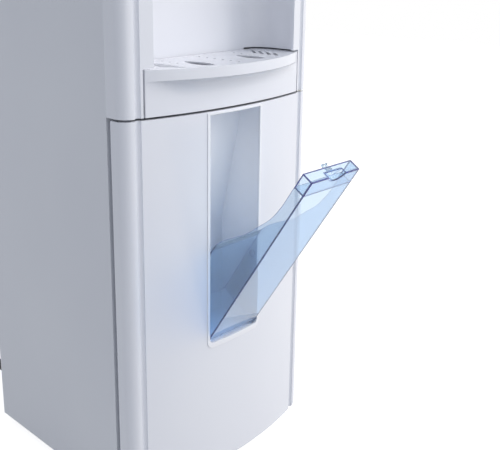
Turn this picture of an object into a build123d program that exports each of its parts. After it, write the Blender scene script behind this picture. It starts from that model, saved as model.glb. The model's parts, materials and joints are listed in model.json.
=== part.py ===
from build123d import *
from math import cos, radians, sin, sqrt
import os

# Bottom load water cooler: a tall floor cabinet with a bowed front, a drip tray under an alcove,
# a door that hides the bottle, and a clear tilt-out bin in a window in that door.
# Millimetres, +Z up, +Y to the rear, +X to the right of a person who faces the cooler.
# The origin is on the floor, in the middle of the box that holds the cooler with its bin open.

os.makedirs("parts", exist_ok=True)

# ---------------------------------------------------------------- driving dimensions

bottle_diameter = 270.0
bottle_height = 490.0
bottle_seat = 44.0
bottle_gap = 4.0
bottle_headroom = 22.0
seat_recess = 2.0
side_room = 45.0  # from the bottle to the cabinet's side
rear_room = 17.2  # from the bottle to the rear panel
rear_space = 28.0  # behind the rear panel, for the condenser

foot_height = 12.0
foot_radius = 16.0
door_bottom = 30.0
seam_rise = 14.0  # from the deck over the bottle to the middle of the gap above the door
seam_gap = 3.0
cover_height = 30.0
cover_step = 2.0

bow_radius = 640.0
post_width = 22.0
groove_half = 4.5
groove_depth = 3.5
shell_wall = 3.0
sheet = 1.0
deck_sheet = 2.0
air = 0.5  # gap between neighbours that don't touch
door_thickness = 28.0
gasket_thickness = 7.7
gasket_squeeze = 0.3
gasket_width = 11.0
door_corner = 25.0
hollow_cut = 13.0  # across the door hollow's bottom corners, inside the rounded outer ones

window_width = 99.0
window_height = 332.7
window_top_rail = 4.5  # from the window's top edge to the door's top edge
window_corner = 6.5
bezel_rim = 4.5
bezel_head = 2.7  # the bezel's rim over the window
bezel_sill = 8.0  # the bezel's rim under the window
bezel_proud = 1.2
bezel_depth = 4.3
pocket_wall = 1.5

bin_wall = 2.0
bin_face = 2.5
bin_depth = 72.0
bin_box_height = 24.6
bin_box_depth = 17.4
bin_top_gap = 3.1
bin_bottom_gap = 1.5
bin_side_gap = 1.0
bin_face_setback = 1.8
bin_roll = 8.0
bin_open_angle = 32.9
pivot_pin_radius = 3.0
running_fit = 0.05

tray_side = 10.5  # from the post's groove to the tray
tray_gap = 2.5
tray_top_rise = 61.5  # from the seam to the tray's top
tray_lift = 18.0  # from the seam to the tray's floor
tray_depth = 71.3
tray_wall = 3.0
tray_rim = 17.0
tray_corner = 12.0
lip_reach = 24.0
lip_height = 14.0
alcove_side = 23.0  # from the post's groove to the alcove
alcove_gap = 2.0
alcove_height = 260.0
alcove_corner = 20.0
alcove_depth = 73.0
liner_overlap = 7.0  # of the alcove's liner behind the front
liner_corner = 30.0
liner_wall = 2.5

panel_half = 120.0
panel_margin = 14.0  # from the alcove to the control panel
panel_height = 105.0
panel_head = 20.0  # from the control panel to the top cover

hinge_inset = 14.0
hinge_pin_radius = 4.0
machine_space = 202.0  # between the deck and the tank shelf

# ---------------------------------------------------------------- worked-out places

cabinet_width = bottle_diameter + 2 * side_room
half = cabinet_width / 2
groove_x = half - post_width
post_depth = post_width - groove_half
bow_rise = bow_radius - sqrt(bow_radius**2 - groove_x**2)
deck_height = bottle_seat + bottle_height + bottle_headroom
deck_top = deck_height + deck_sheet
tank_shelf_height = deck_top + machine_space
seam_height = deck_height + seam_rise
door_top = seam_height - seam_gap / 2
front_bottom = seam_height + seam_gap / 2
tray_top = seam_height + tray_top_rise
tray_bottom = front_bottom + tray_lift
alcove_bottom = tray_top + alcove_gap
alcove_top = alcove_bottom + alcove_height
panel_low = alcove_top + panel_margin
panel_high = panel_low + panel_height
cover_bottom = panel_high + panel_head
cabinet_height = cover_bottom + cover_height

tray_half = groove_x - tray_side
alcove_half = groove_x - alcove_side
liner_half = alcove_half + liner_overlap

window_half = window_width / 2
window_top = door_top - window_top_rail
window_bottom = window_top - window_height
bin_half = window_half - bin_side_gap
bin_length = window_height - bin_top_gap - bin_bottom_gap
tilt = radians(bin_open_angle)
pivot_z = window_bottom + bin_bottom_gap + bin_roll

# The open bin's top front corner reaches furthest forward. It and the wall spacers set the middle.
pocket_reach = -bow_rise + bin_face_setback + bin_depth + bottle_gap + pocket_wall
cabinet_depth = pocket_reach + bottle_gap + bottle_diameter + rear_room + rear_space
face_to_pivot = -bow_rise + bin_face_setback + bin_roll
bin_reach = (bin_length - bin_roll) * sin(tilt) + bin_roll * cos(tilt) - face_to_pivot
face_y = (bin_reach - cabinet_depth) / 2
bow_centre_y = face_y - bow_rise + bow_radius
apex_y = face_y - bow_rise
pivot_y = face_y + face_to_pivot
door_back = face_y + door_thickness
frame_y = door_back + gasket_thickness + gasket_squeeze
rear_y = face_y + cabinet_depth - rear_space
bezel_back = apex_y + bezel_depth
pocket_back = face_y + pocket_reach
bottle_y = pocket_back + bottle_gap + bottle_diameter / 2
side_inner = half - sheet
hinge_x = half - hinge_inset
hinge_y = face_y + hinge_inset


def middle(limits):
    """Half way between two limits."""
    return (limits[0] + limits[1]) / 2


def block(x, y, z, mode=Mode.ADD):
    """A box between its limits on each axis."""
    with BuildSketch(Plane.XY.offset(z[0])) as footprint:
        with Locations((middle(x), middle(y))):
            Rectangle(x[1] - x[0], y[1] - y[0])
    extrude(footprint.sketch, amount=z[1] - z[0], mode=mode)


def rod(start, direction, radius, length, mode=Mode.ADD):
    """A round bar from its start point along a direction."""
    with BuildSketch(Plane(origin=start, z_dir=direction)) as end:
        Circle(radius)
    extrude(end.sketch, amount=length, mode=mode)


def bent_tube(points, radius, bend):
    """A round bar along straight runs joined by tangent arcs."""
    with BuildLine() as route:
        FilletPolyline(*points, radius=bend)
    with BuildSketch(Plane(origin=route.line @ 0, z_dir=route.line % 0)) as section:
        Circle(radius)
    sweep(section.sketch, path=route.line)


def bow_y(x, setback=0.0):
    """Where the bowed front lies at x, set back from its outer face."""
    return bow_centre_y - sqrt((bow_radius - setback) ** 2 - x**2)


def front_outline(height, setback=0.0, back=0.0, grooved=True):
    """Plan of the bowed front with its two corner posts, as a face at a height."""
    side = half - setback
    inner = groove_x - groove_half
    chord = face_y + setback
    with BuildSketch(Plane.XY.offset(height)) as plan:
        with BuildLine():
            if grooved:
                bow_end = bow_y(inner, setback)
                groove_floor = chord + groove_depth
                post = groove_x + groove_half
                ThreePointArc((-inner, bow_end), (0, bow_y(0, setback)), (inner, bow_end))
                ThreePointArc((inner, bow_end), (groove_x, groove_floor), (post, chord))
                ThreePointArc((-inner, bow_end), (-groove_x, groove_floor), (-post, chord))
            else:
                chord = chord + groove_depth
                post = groove_x
                ThreePointArc((-post, chord), (0, bow_y(0, setback)), (post, chord))
            post_back = face_y + post_depth
            shoulder_x = post + (side - post) * sin(radians(45))
            shoulder_y = post_back - (post_back - chord) * cos(radians(45))
            ThreePointArc((post, chord), (shoulder_x, shoulder_y), (side, post_back))
            ThreePointArc((-post, chord), (-shoulder_x, shoulder_y), (-side, post_back))
            Polyline((side, post_back), (side, back), (-side, back), (-side, post_back))
        make_face()
    return plan.sketch


def bow_band(height, half_width, outer, inner):
    """A strip of the bowed front, between two setbacks, as a face at a height."""
    with BuildSketch(Plane.XY.offset(height)) as band:
        with BuildLine():
            for setback in (outer, inner):
                end = bow_y(half_width, setback)
                ThreePointArc((-half_width, end), (0, bow_y(0, setback)), (half_width, end))
            for edge in (-half_width, half_width):
                Line((edge, bow_y(edge, outer)), (edge, bow_y(edge, inner)))
        make_face()
    return band.sketch


def crescent(height, half_width, side_y, apex, back):
    """A plan with a curved front and a straight back with rounded corners, as a face at a height."""
    with BuildSketch(Plane.XY.offset(height)) as plan:
        with BuildLine():
            ThreePointArc((-half_width, side_y), (0, apex), (half_width, side_y))
            FilletPolyline(
                (half_width, side_y),
                (half_width, back),
                (-half_width, back),
                (-half_width, side_y),
                radius=tray_corner,
            )
        make_face()
    return plan.sketch


def front_plane(y):
    """A plane across the cooler at y, drawn as seen from the front, that extrudes to the rear."""
    return Plane(origin=(0, y, 0), x_dir=(-1, 0, 0), z_dir=(0, 1, 0))


def upright(y, half_width, low, high, corner):
    """An upright face at y with rounded bottom corners and square top ones."""
    with BuildSketch(front_plane(y)) as face:
        with BuildLine():
            FilletPolyline(
                (-half_width, high),
                (-half_width, low),
                (half_width, low),
                (half_width, high),
                radius=corner,
            )
            Line((half_width, high), (-half_width, high))
        make_face()
    return face.sketch


# ---------------------------------------------------------------- cabinet

base_floor = 3.0
base_wall = 2.0
rear_gap = 2.5  # from the rear panel's outer face to what stands inside it
sill_half = groove_x - 8.5
shelf_front = frame_y + 2 * sheet

with BuildPart() as base_pan:
    block((-side_inner, side_inner), (shelf_front, rear_y - rear_gap), (foot_height, door_bottom))
    block(
        (-side_inner + base_wall, side_inner - base_wall),
        (shelf_front + base_wall, rear_y - rear_gap - base_wall),
        (foot_height + base_floor, door_bottom),
        Mode.SUBTRACT,
    )
    block((-sill_half, sill_half), (frame_y, shelf_front), (foot_height, bottle_seat + seat_recess))
base_pan.part.label = "base_pan"
export_step(base_pan.part, "parts/base_pan.step")

foot_inset = 2 * foot_radius
foot_places = [
    (x, y)
    for x in (-half + foot_inset, half - foot_inset)
    for y in (frame_y + foot_inset, rear_y - foot_inset)
]
with BuildPart() as feet:
    with BuildSketch():
        with Locations(*foot_places):
            Circle(foot_radius)
    extrude(amount=foot_height, taper=4)
feet.part.label = "feet"
export_step(feet.part, "parts/feet.step")

flange = 30.0

for side_name, side in (("left_side_panel", -1), ("right_side_panel", 1)):
    with BuildPart() as side_sheet:
        outer = sorted((side * side_inner, side * half))
        front = sorted((side * (half - flange), side * half))
        rear = sorted((side * (half - flange / 2), side * half))
        block(outer, (frame_y, rear_y), (foot_height, cover_bottom))
        block(front, (frame_y, frame_y + sheet), (foot_height, cover_bottom))
        block(rear, (rear_y - 2 * sheet, rear_y - sheet), (foot_height, cover_bottom))
    side_sheet.part.label = side_name
    export_step(side_sheet.part, f"parts/{side_name}.step")

switch_x = -half + 75.0
switch_z = panel_low + 25.0
switch_pitch = 26.0
bezel_width = 62.0
bezel_height = 34.0
drain_x = half - 120.0
drain_z = door_bottom + 16.0
drain_radius = 11.0
gland_x = half - 40.0
gland_z = door_bottom + 45.0
gland_radius = 8.0
gland_play = 0.2
tube_hole = 5.0
condenser_x = groove_x - 14.0
return_x = condenser_x + 12.0
condenser_low = door_bottom + 90.0
condenser_high = tank_shelf_height - 140.0
vent_rows = 8
vent_columns = 3
vent_pitch = (74.0, 16.0)
vent_length = 52.0
vent_width = 5.0
bezel_lap = 4.0

with BuildPart() as rear_panel:
    block((-side_inner, side_inner), (rear_y - sheet, rear_y), (foot_height, cover_bottom))
    with BuildSketch(front_plane(rear_y - sheet)):
        with Locations((0, tank_shelf_height + 120)):
            with GridLocations(*vent_pitch, vent_columns, vent_rows):
                SlotOverall(vent_length, vent_width)
    extrude(amount=sheet, mode=Mode.SUBTRACT)
    switch_cut = bezel_width / 2 - bezel_lap
    switch_rise = bezel_height / 2 - bezel_lap
    block(
        (switch_x - switch_cut, switch_x + switch_cut),
        (rear_y - sheet, rear_y),
        (switch_z - switch_rise, switch_z + switch_rise),
        Mode.SUBTRACT,
    )
    rod((drain_x, rear_y, drain_z), (0, -1, 0), drain_radius + air, sheet, Mode.SUBTRACT)
    rod((gland_x, rear_y, gland_z), (0, -1, 0), gland_radius + gland_play, sheet, Mode.SUBTRACT)
    for line_x in (condenser_x, return_x):
        rod((line_x, rear_y, condenser_high), (0, -1, 0), tube_hole, sheet, Mode.SUBTRACT)
rear_panel.part.label = "rear_panel"
export_step(rear_panel.part, "parts/rear_panel.step")

with BuildPart() as top_cover:
    extrude(front_outline(cover_bottom, 0, rear_y), amount=cover_height - cover_step)
    extrude(
        front_outline(cabinet_height - cover_step, cover_step, rear_y - cover_step, False),
        amount=cover_step,
    )
    extrude(
        front_outline(cover_bottom, shell_wall, rear_y - shell_wall, False),
        amount=cover_height - shell_wall,
        mode=Mode.SUBTRACT,
    )
top_cover.part.label = "top_cover"
export_step(top_cover.part, "parts/top_cover.step")

fascia_height = cover_bottom - front_bottom
tray_mouth = tray_half + tray_gap

with BuildPart() as upper_fascia:
    extrude(front_outline(front_bottom, 0, frame_y), amount=fascia_height)
    extrude(
        front_outline(front_bottom, shell_wall, frame_y, False),
        amount=fascia_height,
        mode=Mode.SUBTRACT,
    )
    block((-tray_mouth, tray_mouth), (apex_y, frame_y), (front_bottom, alcove_bottom), Mode.SUBTRACT)
    with BuildSketch(front_plane(apex_y)):
        with BuildLine():
            FilletPolyline(
                (-alcove_half, alcove_bottom),
                (-alcove_half, alcove_top),
                (alcove_half, alcove_top),
                (alcove_half, alcove_bottom),
                radius=alcove_corner,
            )
            Line((alcove_half, alcove_bottom), (-alcove_half, alcove_bottom))
        make_face()
    extrude(amount=bow_rise + post_depth, mode=Mode.SUBTRACT)
    block((-panel_half, panel_half), (apex_y, frame_y), (panel_low, panel_high), Mode.SUBTRACT)
upper_fascia.part.label = "upper_fascia"
export_step(upper_fascia.part, "parts/upper_fascia.step")

liner_front = bow_y(liner_half + liner_wall, shell_wall) + groove_depth + air
liner_back = face_y + alcove_depth
nozzle_spacing = 50.0
nozzle_y = face_y + 45.0
nozzle_radius = 9.0
shelf_top = tray_bottom - air
ceiling = alcove_top + 1.0

with BuildPart() as alcove_liner:
    with BuildSketch(Plane.XY.offset(alcove_bottom)):
        with BuildLine():
            FilletPolyline(
                (-liner_half - liner_wall, liner_front),
                (-liner_half - liner_wall, liner_back + liner_wall),
                (liner_half + liner_wall, liner_back + liner_wall),
                (liner_half + liner_wall, liner_front),
                radius=liner_corner + liner_wall,
            )
            Line((liner_half + liner_wall, liner_front), (-liner_half - liner_wall, liner_front))
        make_face()
    extrude(amount=ceiling + liner_wall - alcove_bottom)
    with BuildSketch(Plane.XY.offset(alcove_bottom)):
        with BuildLine():
            FilletPolyline(
                (-liner_half, liner_front),
                (-liner_half, liner_back),
                (liner_half, liner_back),
                (liner_half, liner_front),
                radius=liner_corner,
            )
            Line((liner_half, liner_front), (-liner_half, liner_front))
        make_face()
    extrude(amount=ceiling - alcove_bottom, mode=Mode.SUBTRACT)
    lower_half = liner_half - liner_corner
    liner_rear = liner_back + liner_wall
    block((-lower_half, lower_half), (liner_back, liner_rear), (shelf_top - liner_wall, alcove_bottom))
    block(
        (-tray_half, tray_half),
        (face_y + tray_wall + 2 * air, liner_rear),
        (shelf_top - liner_wall, shelf_top),
    )
    with BuildSketch(Plane.XY.offset(ceiling)):
        with Locations((0, nozzle_y)):
            with GridLocations(nozzle_spacing, 1, 3, 1):
                Circle(nozzle_radius + air)
    extrude(amount=liner_wall, mode=Mode.SUBTRACT)
alcove_liner.part.label = "alcove_liner"
export_step(alcove_liner.part, "parts/alcove_liner.step")

# ---------------------------------------------------------------- control panel and its keys

key_z = panel_low + 46.0
key_pitch = 70.0
key_width = 40.0
key_height = 22.0
key_gap = 0.5
key_proud = 3.0
key_travel = 4.0
key_flange = 2.0
key_stem = 4.0
panel_proud = 0.8
key_places = {"hot_button": -key_pitch, "room_button": 0.0, "cold_button": key_pitch}
switch_face_y = face_y + 2.0
lock_z = panel_low + 81.0
lock_x = -key_pitch
lock_travel = 8.0
lock_width = 10.0
lock_height = 7.0
lens_radius = 3.0
lens_pitch = 25.0
lens_places = (-lens_pitch, 0.0, lens_pitch)

with BuildPart() as control_panel:
    extrude(
        bow_band(panel_low + air, panel_half - air, -panel_proud, shell_wall),
        amount=panel_height - 2 * air,
    )
    for key_x in key_places.values():
        block(
            (key_x - key_width / 2 - key_gap, key_x + key_width / 2 + key_gap),
            (apex_y - 2 * panel_proud, frame_y),
            (key_z - key_height / 2 - key_gap, key_z + key_height / 2 + key_gap),
            Mode.SUBTRACT,
        )
    slot_half = (lock_width + lock_travel) / 2 + key_gap
    lock_middle = lock_x + lock_travel / 2
    block(
        (lock_middle - slot_half, lock_middle + slot_half),
        (apex_y - 2 * panel_proud, frame_y),
        (lock_z - lock_height / 2 - key_gap, lock_z + lock_height / 2 + key_gap),
        Mode.SUBTRACT,
    )
    for lens_x in lens_places:
        hole_start = (lens_x, apex_y - 2 * panel_proud, lock_z)
        rod(hole_start, (0, 1, 0), lens_radius + running_fit, bow_rise, Mode.SUBTRACT)
control_panel.part.label = "control_panel"
export_step(control_panel.part, "parts/control_panel.step")

for key_name, key_x in key_places.items():
    key_face = bow_y(key_x) - key_proud
    key_side = key_width / 2
    key_rise = key_height / 2
    flange_side = key_side + key_flange
    flange_y = bow_y(abs(key_x) + flange_side, shell_wall) + air
    stem_end = switch_face_y - key_travel - air
    with BuildPart() as key:
        block(
            (key_x - key_side, key_x + key_side),
            (key_face, flange_y),
            (key_z - key_rise, key_z + key_rise),
        )
        fillet(key.faces().sort_by(Axis.Y)[0].edges(), radius=1.5)
        block(
            (key_x - flange_side, key_x + flange_side),
            (flange_y, flange_y + shell_wall / 2),
            (key_z - key_rise - key_flange, key_z + key_rise + key_flange),
        )
        block(
            (key_x - key_stem, key_x + key_stem),
            (flange_y, stem_end),
            (key_z - key_stem, key_z + key_stem),
        )
    key.part.label = key_name
    export_step(key.part, f"parts/{key_name}.step")

lock_face = bow_y(lock_x) - 2.5
lock_flange = bow_y(abs(lock_x) + lock_width, shell_wall) + air
with BuildPart() as child_lock:
    block(
        (lock_x - lock_width / 2, lock_x + lock_width / 2),
        (lock_face, lock_flange),
        (lock_z - lock_height / 2, lock_z + lock_height / 2),
    )
    fillet(child_lock.faces().sort_by(Axis.Y)[0].edges(), radius=1)
    block(
        (lock_x - 0.8 * lock_width, lock_x + 0.8 * lock_width),
        (lock_flange, lock_flange + shell_wall / 2),
        (lock_z - 0.8 * lock_height, lock_z + 0.8 * lock_height),
    )
child_lock.part.label = "child_lock"
export_step(child_lock.part, "parts/child_lock.step")

with BuildPart() as indicator_lenses:
    for lens_x in lens_places:
        rod((lens_x, bow_y(lens_x) - 1.2, lock_z), (0, 1, 0), lens_radius, 8)
indicator_lenses.part.label = "indicator_lenses"
export_step(indicator_lenses.part, "parts/indicator_lenses.step")

board_y = switch_face_y + 9.0
board_half = panel_half - 8.0
with BuildPart() as control_board:
    block((-board_half, board_half), (board_y, board_y + 1.6), (key_z - 30, lock_z + 8))
    for key_x in key_places.values():
        block((key_x - 7, key_x + 7), (switch_face_y, board_y), (key_z - 5, key_z + 5))
control_board.part.label = "control_board"
export_step(control_board.part, "parts/control_board.step")

# ---------------------------------------------------------------- bottle bay

liner_side = half - 12.0
bay_back = rear_y - 11.0
bay_wall = 2.0
shelf_wall = 3.0

with BuildPart() as bottle_shelf:
    shelf_high = bottle_seat + seat_recess
    block((-liner_side, liner_side), (shelf_front, bay_back), (door_bottom + air, shelf_high))
    block(
        (-liner_side + shelf_wall, liner_side - shelf_wall),
        (shelf_front + shelf_wall, bay_back - shelf_wall),
        (door_bottom + air, bottle_seat - 4),
        Mode.SUBTRACT,
    )
    rod((0, bottle_y, shelf_high), (0, 0, -1), bottle_diameter / 2 + bottle_gap, seat_recess, Mode.SUBTRACT)
    fillet(bottle_shelf.edges().group_by(Axis.Z)[-1].filter_by(GeomType.LINE), radius=1.5)
bottle_shelf.part.label = "bottle_shelf"
export_step(bottle_shelf.part, "parts/bottle_shelf.step")

with BuildPart() as bay_liner:
    liner_low = shelf_high + air
    block(
        (-liner_side - bay_wall, liner_side + bay_wall),
        (shelf_front, bay_back + bay_wall),
        (liner_low, deck_height - air),
    )
    block((-liner_side, liner_side), (shelf_front, bay_back), (liner_low, deck_height - air), Mode.SUBTRACT)
bay_liner.part.label = "bay_liner"
export_step(bay_liner.part, "parts/bay_liner.step")

probe_x = -liner_side + 27.0
probe_y = bay_back - 27.0
probe_radius = 8.0
probe_length = 430.0
collar_radius = 23.0
collar_height = 26.0
collar_spigot = 10.0
hose_radius = 5.0
hook_top = deck_height - 40.0
slot_places = (8.0, 22.0, 36.0)

with BuildPart() as mid_deck:
    block((-side_inner, side_inner), (frame_y + sheet, rear_y - 2 * sheet), (deck_height, deck_top))
    block((-sill_half, sill_half), (frame_y, shelf_front), (deck_height, seam_height))
    rod((probe_x, probe_y, deck_height), (0, 0, 1), hose_radius + 3, deck_sheet, Mode.SUBTRACT)
mid_deck.part.label = "mid_deck"
export_step(mid_deck.part, "parts/mid_deck.step")

with BuildPart() as probe_hook:
    hook_reach = 12.0
    hook_gap = probe_radius + air
    hook_tip = probe_x + hook_reach
    hook_y = (probe_y - hook_reach, probe_y + hook_reach)
    hook_z = (hook_top - 4, hook_top)
    block((-liner_side, hook_tip), hook_y, hook_z)
    block((-liner_side, -liner_side + 3), hook_y, (hook_top - 24, hook_top))
    rod((probe_x, probe_y, hook_z[0]), (0, 0, 1), hook_gap, 4, Mode.SUBTRACT)
    block((probe_x, hook_tip), (probe_y - hook_gap, probe_y + hook_gap), hook_z, Mode.SUBTRACT)
probe_hook.part.label = "probe_hook"
export_step(probe_hook.part, "parts/probe_hook.step")

with BuildPart() as probe_tube:
    rod((probe_x, probe_y, hook_top - probe_length), (0, 0, 1), probe_radius, probe_length)
    rod((probe_x, probe_y, hook_top - probe_length), (0, 0, 1), probe_radius - 2, probe_length, Mode.SUBTRACT)
    for slot_rise in slot_places:
        slot_low = hook_top - probe_length + slot_rise
        block(
            (probe_x - probe_radius, probe_x + probe_radius),
            (probe_y - 2.5, probe_y + 2.5),
            (slot_low, slot_low + 8),
            Mode.SUBTRACT,
        )
probe_tube.part.label = "probe_tube"
export_step(probe_tube.part, "parts/probe_tube.step")

with BuildPart() as probe_collar:
    spigot_low = hook_top + collar_height - collar_spigot
    rod((probe_x, probe_y, hook_top), (0, 0, 1), collar_radius, collar_height - collar_spigot)
    rod((probe_x, probe_y, spigot_low), (0, 0, 1), 9, collar_spigot)
    chamfer(probe_collar.edges().group_by(Axis.Z)[0], length=2)
probe_collar.part.label = "probe_collar"
export_step(probe_collar.part, "parts/probe_collar.step")

# ---------------------------------------------------------------- machine space

pump_low = deck_top
pump_width = 50.0
pump_height = 92.0
pump_inlet_z = pump_low + 62.0
pump_y = (probe_y - 62.0, probe_y - 112.0)

with BuildPart() as water_pump:
    pump_side = pump_width / 2
    pump_body = pump_height / 2
    pump_x = (probe_x - pump_side, probe_x + pump_side)
    block(pump_x, (pump_y[1], pump_y[0]), (pump_low, pump_low + pump_body))
    rod((probe_x, middle(pump_y), pump_low + pump_body), (0, 0, 1), pump_side - 1, pump_body)
    rod((probe_x, pump_y[0] - 8, pump_inlet_z), (0, 1, 0), hose_radius, 18)
    rod((probe_x, middle(pump_y), pump_low + pump_height), (0, 0, 1), hose_radius, 10)
water_pump.part.label = "water_pump"
export_step(water_pump.part, "parts/water_pump.step")

with BuildPart() as probe_hose:
    bent_tube(
        [
            (probe_x, probe_y, hook_top + collar_height),
            (probe_x, probe_y, pump_inlet_z),
            (probe_x, pump_y[0] + 10, pump_inlet_z),
        ],
        hose_radius,
        26,
    )
probe_hose.part.label = "probe_hose"
export_step(probe_hose.part, "parts/probe_hose.step")

compressor_radius = 66.0
compressor_band = 2.0
compressor_x = side_inner - 45.0 - compressor_radius - compressor_band
compressor_y = rear_y - 117.0
compressor_low = deck_top + 16.0
compressor_height = 164.0
grommet_height = 12.0
stub_offset = 20.0
plate_half = (62.0, 88.0)
grommet_inset = 10.0
grommet_reach = (plate_half[0] - grommet_inset, plate_half[1] - grommet_inset)
grommet_places = [
    (x, y)
    for x in (compressor_x - grommet_reach[0], compressor_x + grommet_reach[0])
    for y in (compressor_y - grommet_reach[1], compressor_y + grommet_reach[1])
]

with BuildPart() as compressor:
    rod((compressor_x, compressor_y, compressor_low), (0, 0, 1), compressor_radius, compressor_height)
    fillet(compressor.edges().filter_by(GeomType.CIRCLE), radius=30)
    band_low = compressor_low + compressor_height / 2
    rod((compressor_x, compressor_y, band_low), (0, 0, 1), compressor_radius + compressor_band, 6)
    plate_low = deck_top + grommet_height
    block(
        (compressor_x - plate_half[0], compressor_x + plate_half[0]),
        (compressor_y - plate_half[1], compressor_y + plate_half[1]),
        (plate_low, plate_low + 4),
    )
    rod((compressor_x, compressor_y, plate_low), (0, 0, 1), 40, 10)
    for stub_x in (compressor_x - stub_offset, compressor_x + stub_offset):
        rod((stub_x, compressor_y, compressor_low + compressor_height - 4), (0, 0, 1), 5, 10)
compressor.part.label = "compressor"
export_step(compressor.part, "parts/compressor.step")

with BuildPart() as compressor_grommets:
    with BuildSketch(Plane.XY.offset(deck_top)):
        with Locations(*grommet_places):
            Circle(9)
    extrude(amount=grommet_height)
compressor_grommets.part.label = "compressor_grommets"
export_step(compressor_grommets.part, "parts/compressor_grommets.step")

tank_y = rear_y - 128.0
drier_x = side_inner - 69.0
drier_y = rear_y - 30.0
tank_base = tank_shelf_height + deck_sheet
insulation_half = 82.0
cold_x = -side_inner + 7.0 + insulation_half
insulation_side = cold_x + insulation_half
line_gap = 10.0
riser_x = insulation_side + line_gap
suction_y = tank_y + 40.0
capillary_y = tank_y + 60.0
insulation_height = 236.0
insulation_floor = 22.0
cold_radius = 54.0
cold_height = 190.0
coil_radius = 60.0
coil_tube = 4.0
coil_turns = 5
coil_pitch = 16.0
cavity_radius = 68.0
hot_radius = 50.0
hot_height = 196.0
jacket_wall = 14.0
hot_x = side_inner - 20.0 - hot_radius - jacket_wall
shelf_y = (tank_y - 88.0, rear_y - rear_gap)

with BuildPart() as tank_shelf:
    block((-side_inner, side_inner), shelf_y, (tank_shelf_height, tank_base))
    fold_y = (shelf_y[0], shelf_y[0] + deck_sheet)
    block((-side_inner, side_inner), fold_y, (tank_shelf_height - 18, tank_base))
    for riser_y in (suction_y, drier_y):
        rod((riser_x, riser_y, tank_shelf_height), (0, 0, 1), tube_hole, deck_sheet, Mode.SUBTRACT)
tank_shelf.part.label = "tank_shelf"
export_step(tank_shelf.part, "parts/tank_shelf.step")

with BuildPart() as tank_insulation:
    block(
        (cold_x - insulation_half, cold_x + insulation_half),
        (tank_y - insulation_half, tank_y + insulation_half),
        (tank_base, tank_base + insulation_height),
    )
    fillet(tank_insulation.edges().filter_by(Axis.Z), radius=14)
    cavity_floor = (cold_x, tank_y, tank_base + insulation_floor)
    rod(cavity_floor, (0, 0, 1), cavity_radius, insulation_height, Mode.SUBTRACT)
tank_insulation.part.label = "tank_insulation"
export_step(tank_insulation.part, "parts/tank_insulation.step")

with BuildPart() as cold_tank:
    rod((cold_x, tank_y, tank_base + insulation_floor), (0, 0, 1), cold_radius, cold_height)
    fillet(cold_tank.edges().filter_by(GeomType.CIRCLE), radius=12)
    rod((cold_x - 20, tank_y, tank_base + insulation_floor + cold_height - 2), (0, 0, 1), 4, 12)
    rod((cold_x + 20, tank_y, tank_base + insulation_floor + cold_height - 2), (0, 0, 1), 4, 12)
cold_tank.part.label = "cold_tank"
export_step(cold_tank.part, "parts/cold_tank.step")

with BuildPart() as evaporator_coil:
    coil_base = tank_base + insulation_floor + 40.0
    with BuildLine(Plane(origin=(cold_x, tank_y, coil_base))) as coil_route:
        Helix(pitch=coil_pitch, height=coil_pitch * coil_turns, radius=coil_radius)
    with BuildSketch(Plane(origin=coil_route.line @ 0, z_dir=coil_route.line % 0)):
        Circle(coil_tube)
    sweep(path=coil_route.line, is_frenet=True)
evaporator_coil.part.label = "evaporator_coil"
export_step(evaporator_coil.part, "parts/evaporator_coil.step")

with BuildPart() as hot_tank:
    rod((hot_x, tank_y, tank_base + 10), (0, 0, 1), hot_radius, hot_height)
    fillet(hot_tank.edges().filter_by(GeomType.CIRCLE), radius=14)
    rod((hot_x, tank_y, tank_base), (0, 0, 1), 20, 12)
    rod((hot_x - 18, tank_y, tank_base + 8 + hot_height), (0, 0, 1), 4, 12)
    rod((hot_x + 18, tank_y, tank_base + 8 + hot_height), (0, 0, 1), 4, 12)
hot_tank.part.label = "hot_tank"
export_step(hot_tank.part, "parts/hot_tank.step")

with BuildPart() as hot_tank_jacket:
    rod((hot_x, tank_y, tank_base), (0, 0, 1), hot_radius + jacket_wall, hot_height - 6)
    rod((hot_x, tank_y, tank_base), (0, 0, 1), hot_radius + air, hot_height - 6, Mode.SUBTRACT)
hot_tank_jacket.part.label = "hot_tank_jacket"
export_step(hot_tank_jacket.part, "parts/hot_tank_jacket.step")

manifold_low = ceiling + liner_wall
spout_drop = 26.0

with BuildPart() as nozzles:
    reach = nozzle_spacing + 16
    block((-reach, reach), (nozzle_y - 14, nozzle_y + 14), (manifold_low, manifold_low + 12))
    with BuildSketch(Plane.XY.offset(manifold_low)):
        with Locations((0, nozzle_y)):
            with GridLocations(nozzle_spacing, 1, 3, 1):
                Circle(nozzle_radius)
    extrude(amount=-(liner_wall + spout_drop), taper=3)
    with BuildSketch(Plane.XY.offset(manifold_low - liner_wall - spout_drop)):
        with Locations((0, nozzle_y)):
            with GridLocations(nozzle_spacing, 1, 3, 1):
                Circle(4)
    extrude(amount=spout_drop + liner_wall + 6, mode=Mode.SUBTRACT)
nozzles.part.label = "nozzles"
export_step(nozzles.part, "parts/nozzles.step")

valve_low = manifold_low + 12.0
with BuildPart() as solenoid_valves:
    for valve_x in (-nozzle_spacing, 0.0, nozzle_spacing):
        block((valve_x - 11, valve_x + 11), (nozzle_y - 12, nozzle_y + 12), (valve_low, valve_low + 14))
        rod((valve_x, nozzle_y, valve_low + 14), (0, 0, 1), 10, 26)
        rod((valve_x, nozzle_y + 12, valve_low + 7), (0, 1, 0), 4, 8)
solenoid_valves.part.label = "solenoid_valves"
export_step(solenoid_valves.part, "parts/solenoid_valves.step")

valve_tail = nozzle_y + 20.0
valve_line = valve_low + 7.0
cold_top = tank_base + insulation_floor + cold_height + 10.0
hot_top = tank_base + 20.0 + hot_height
line_radius = 4.0
line_bend = 12.0

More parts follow.
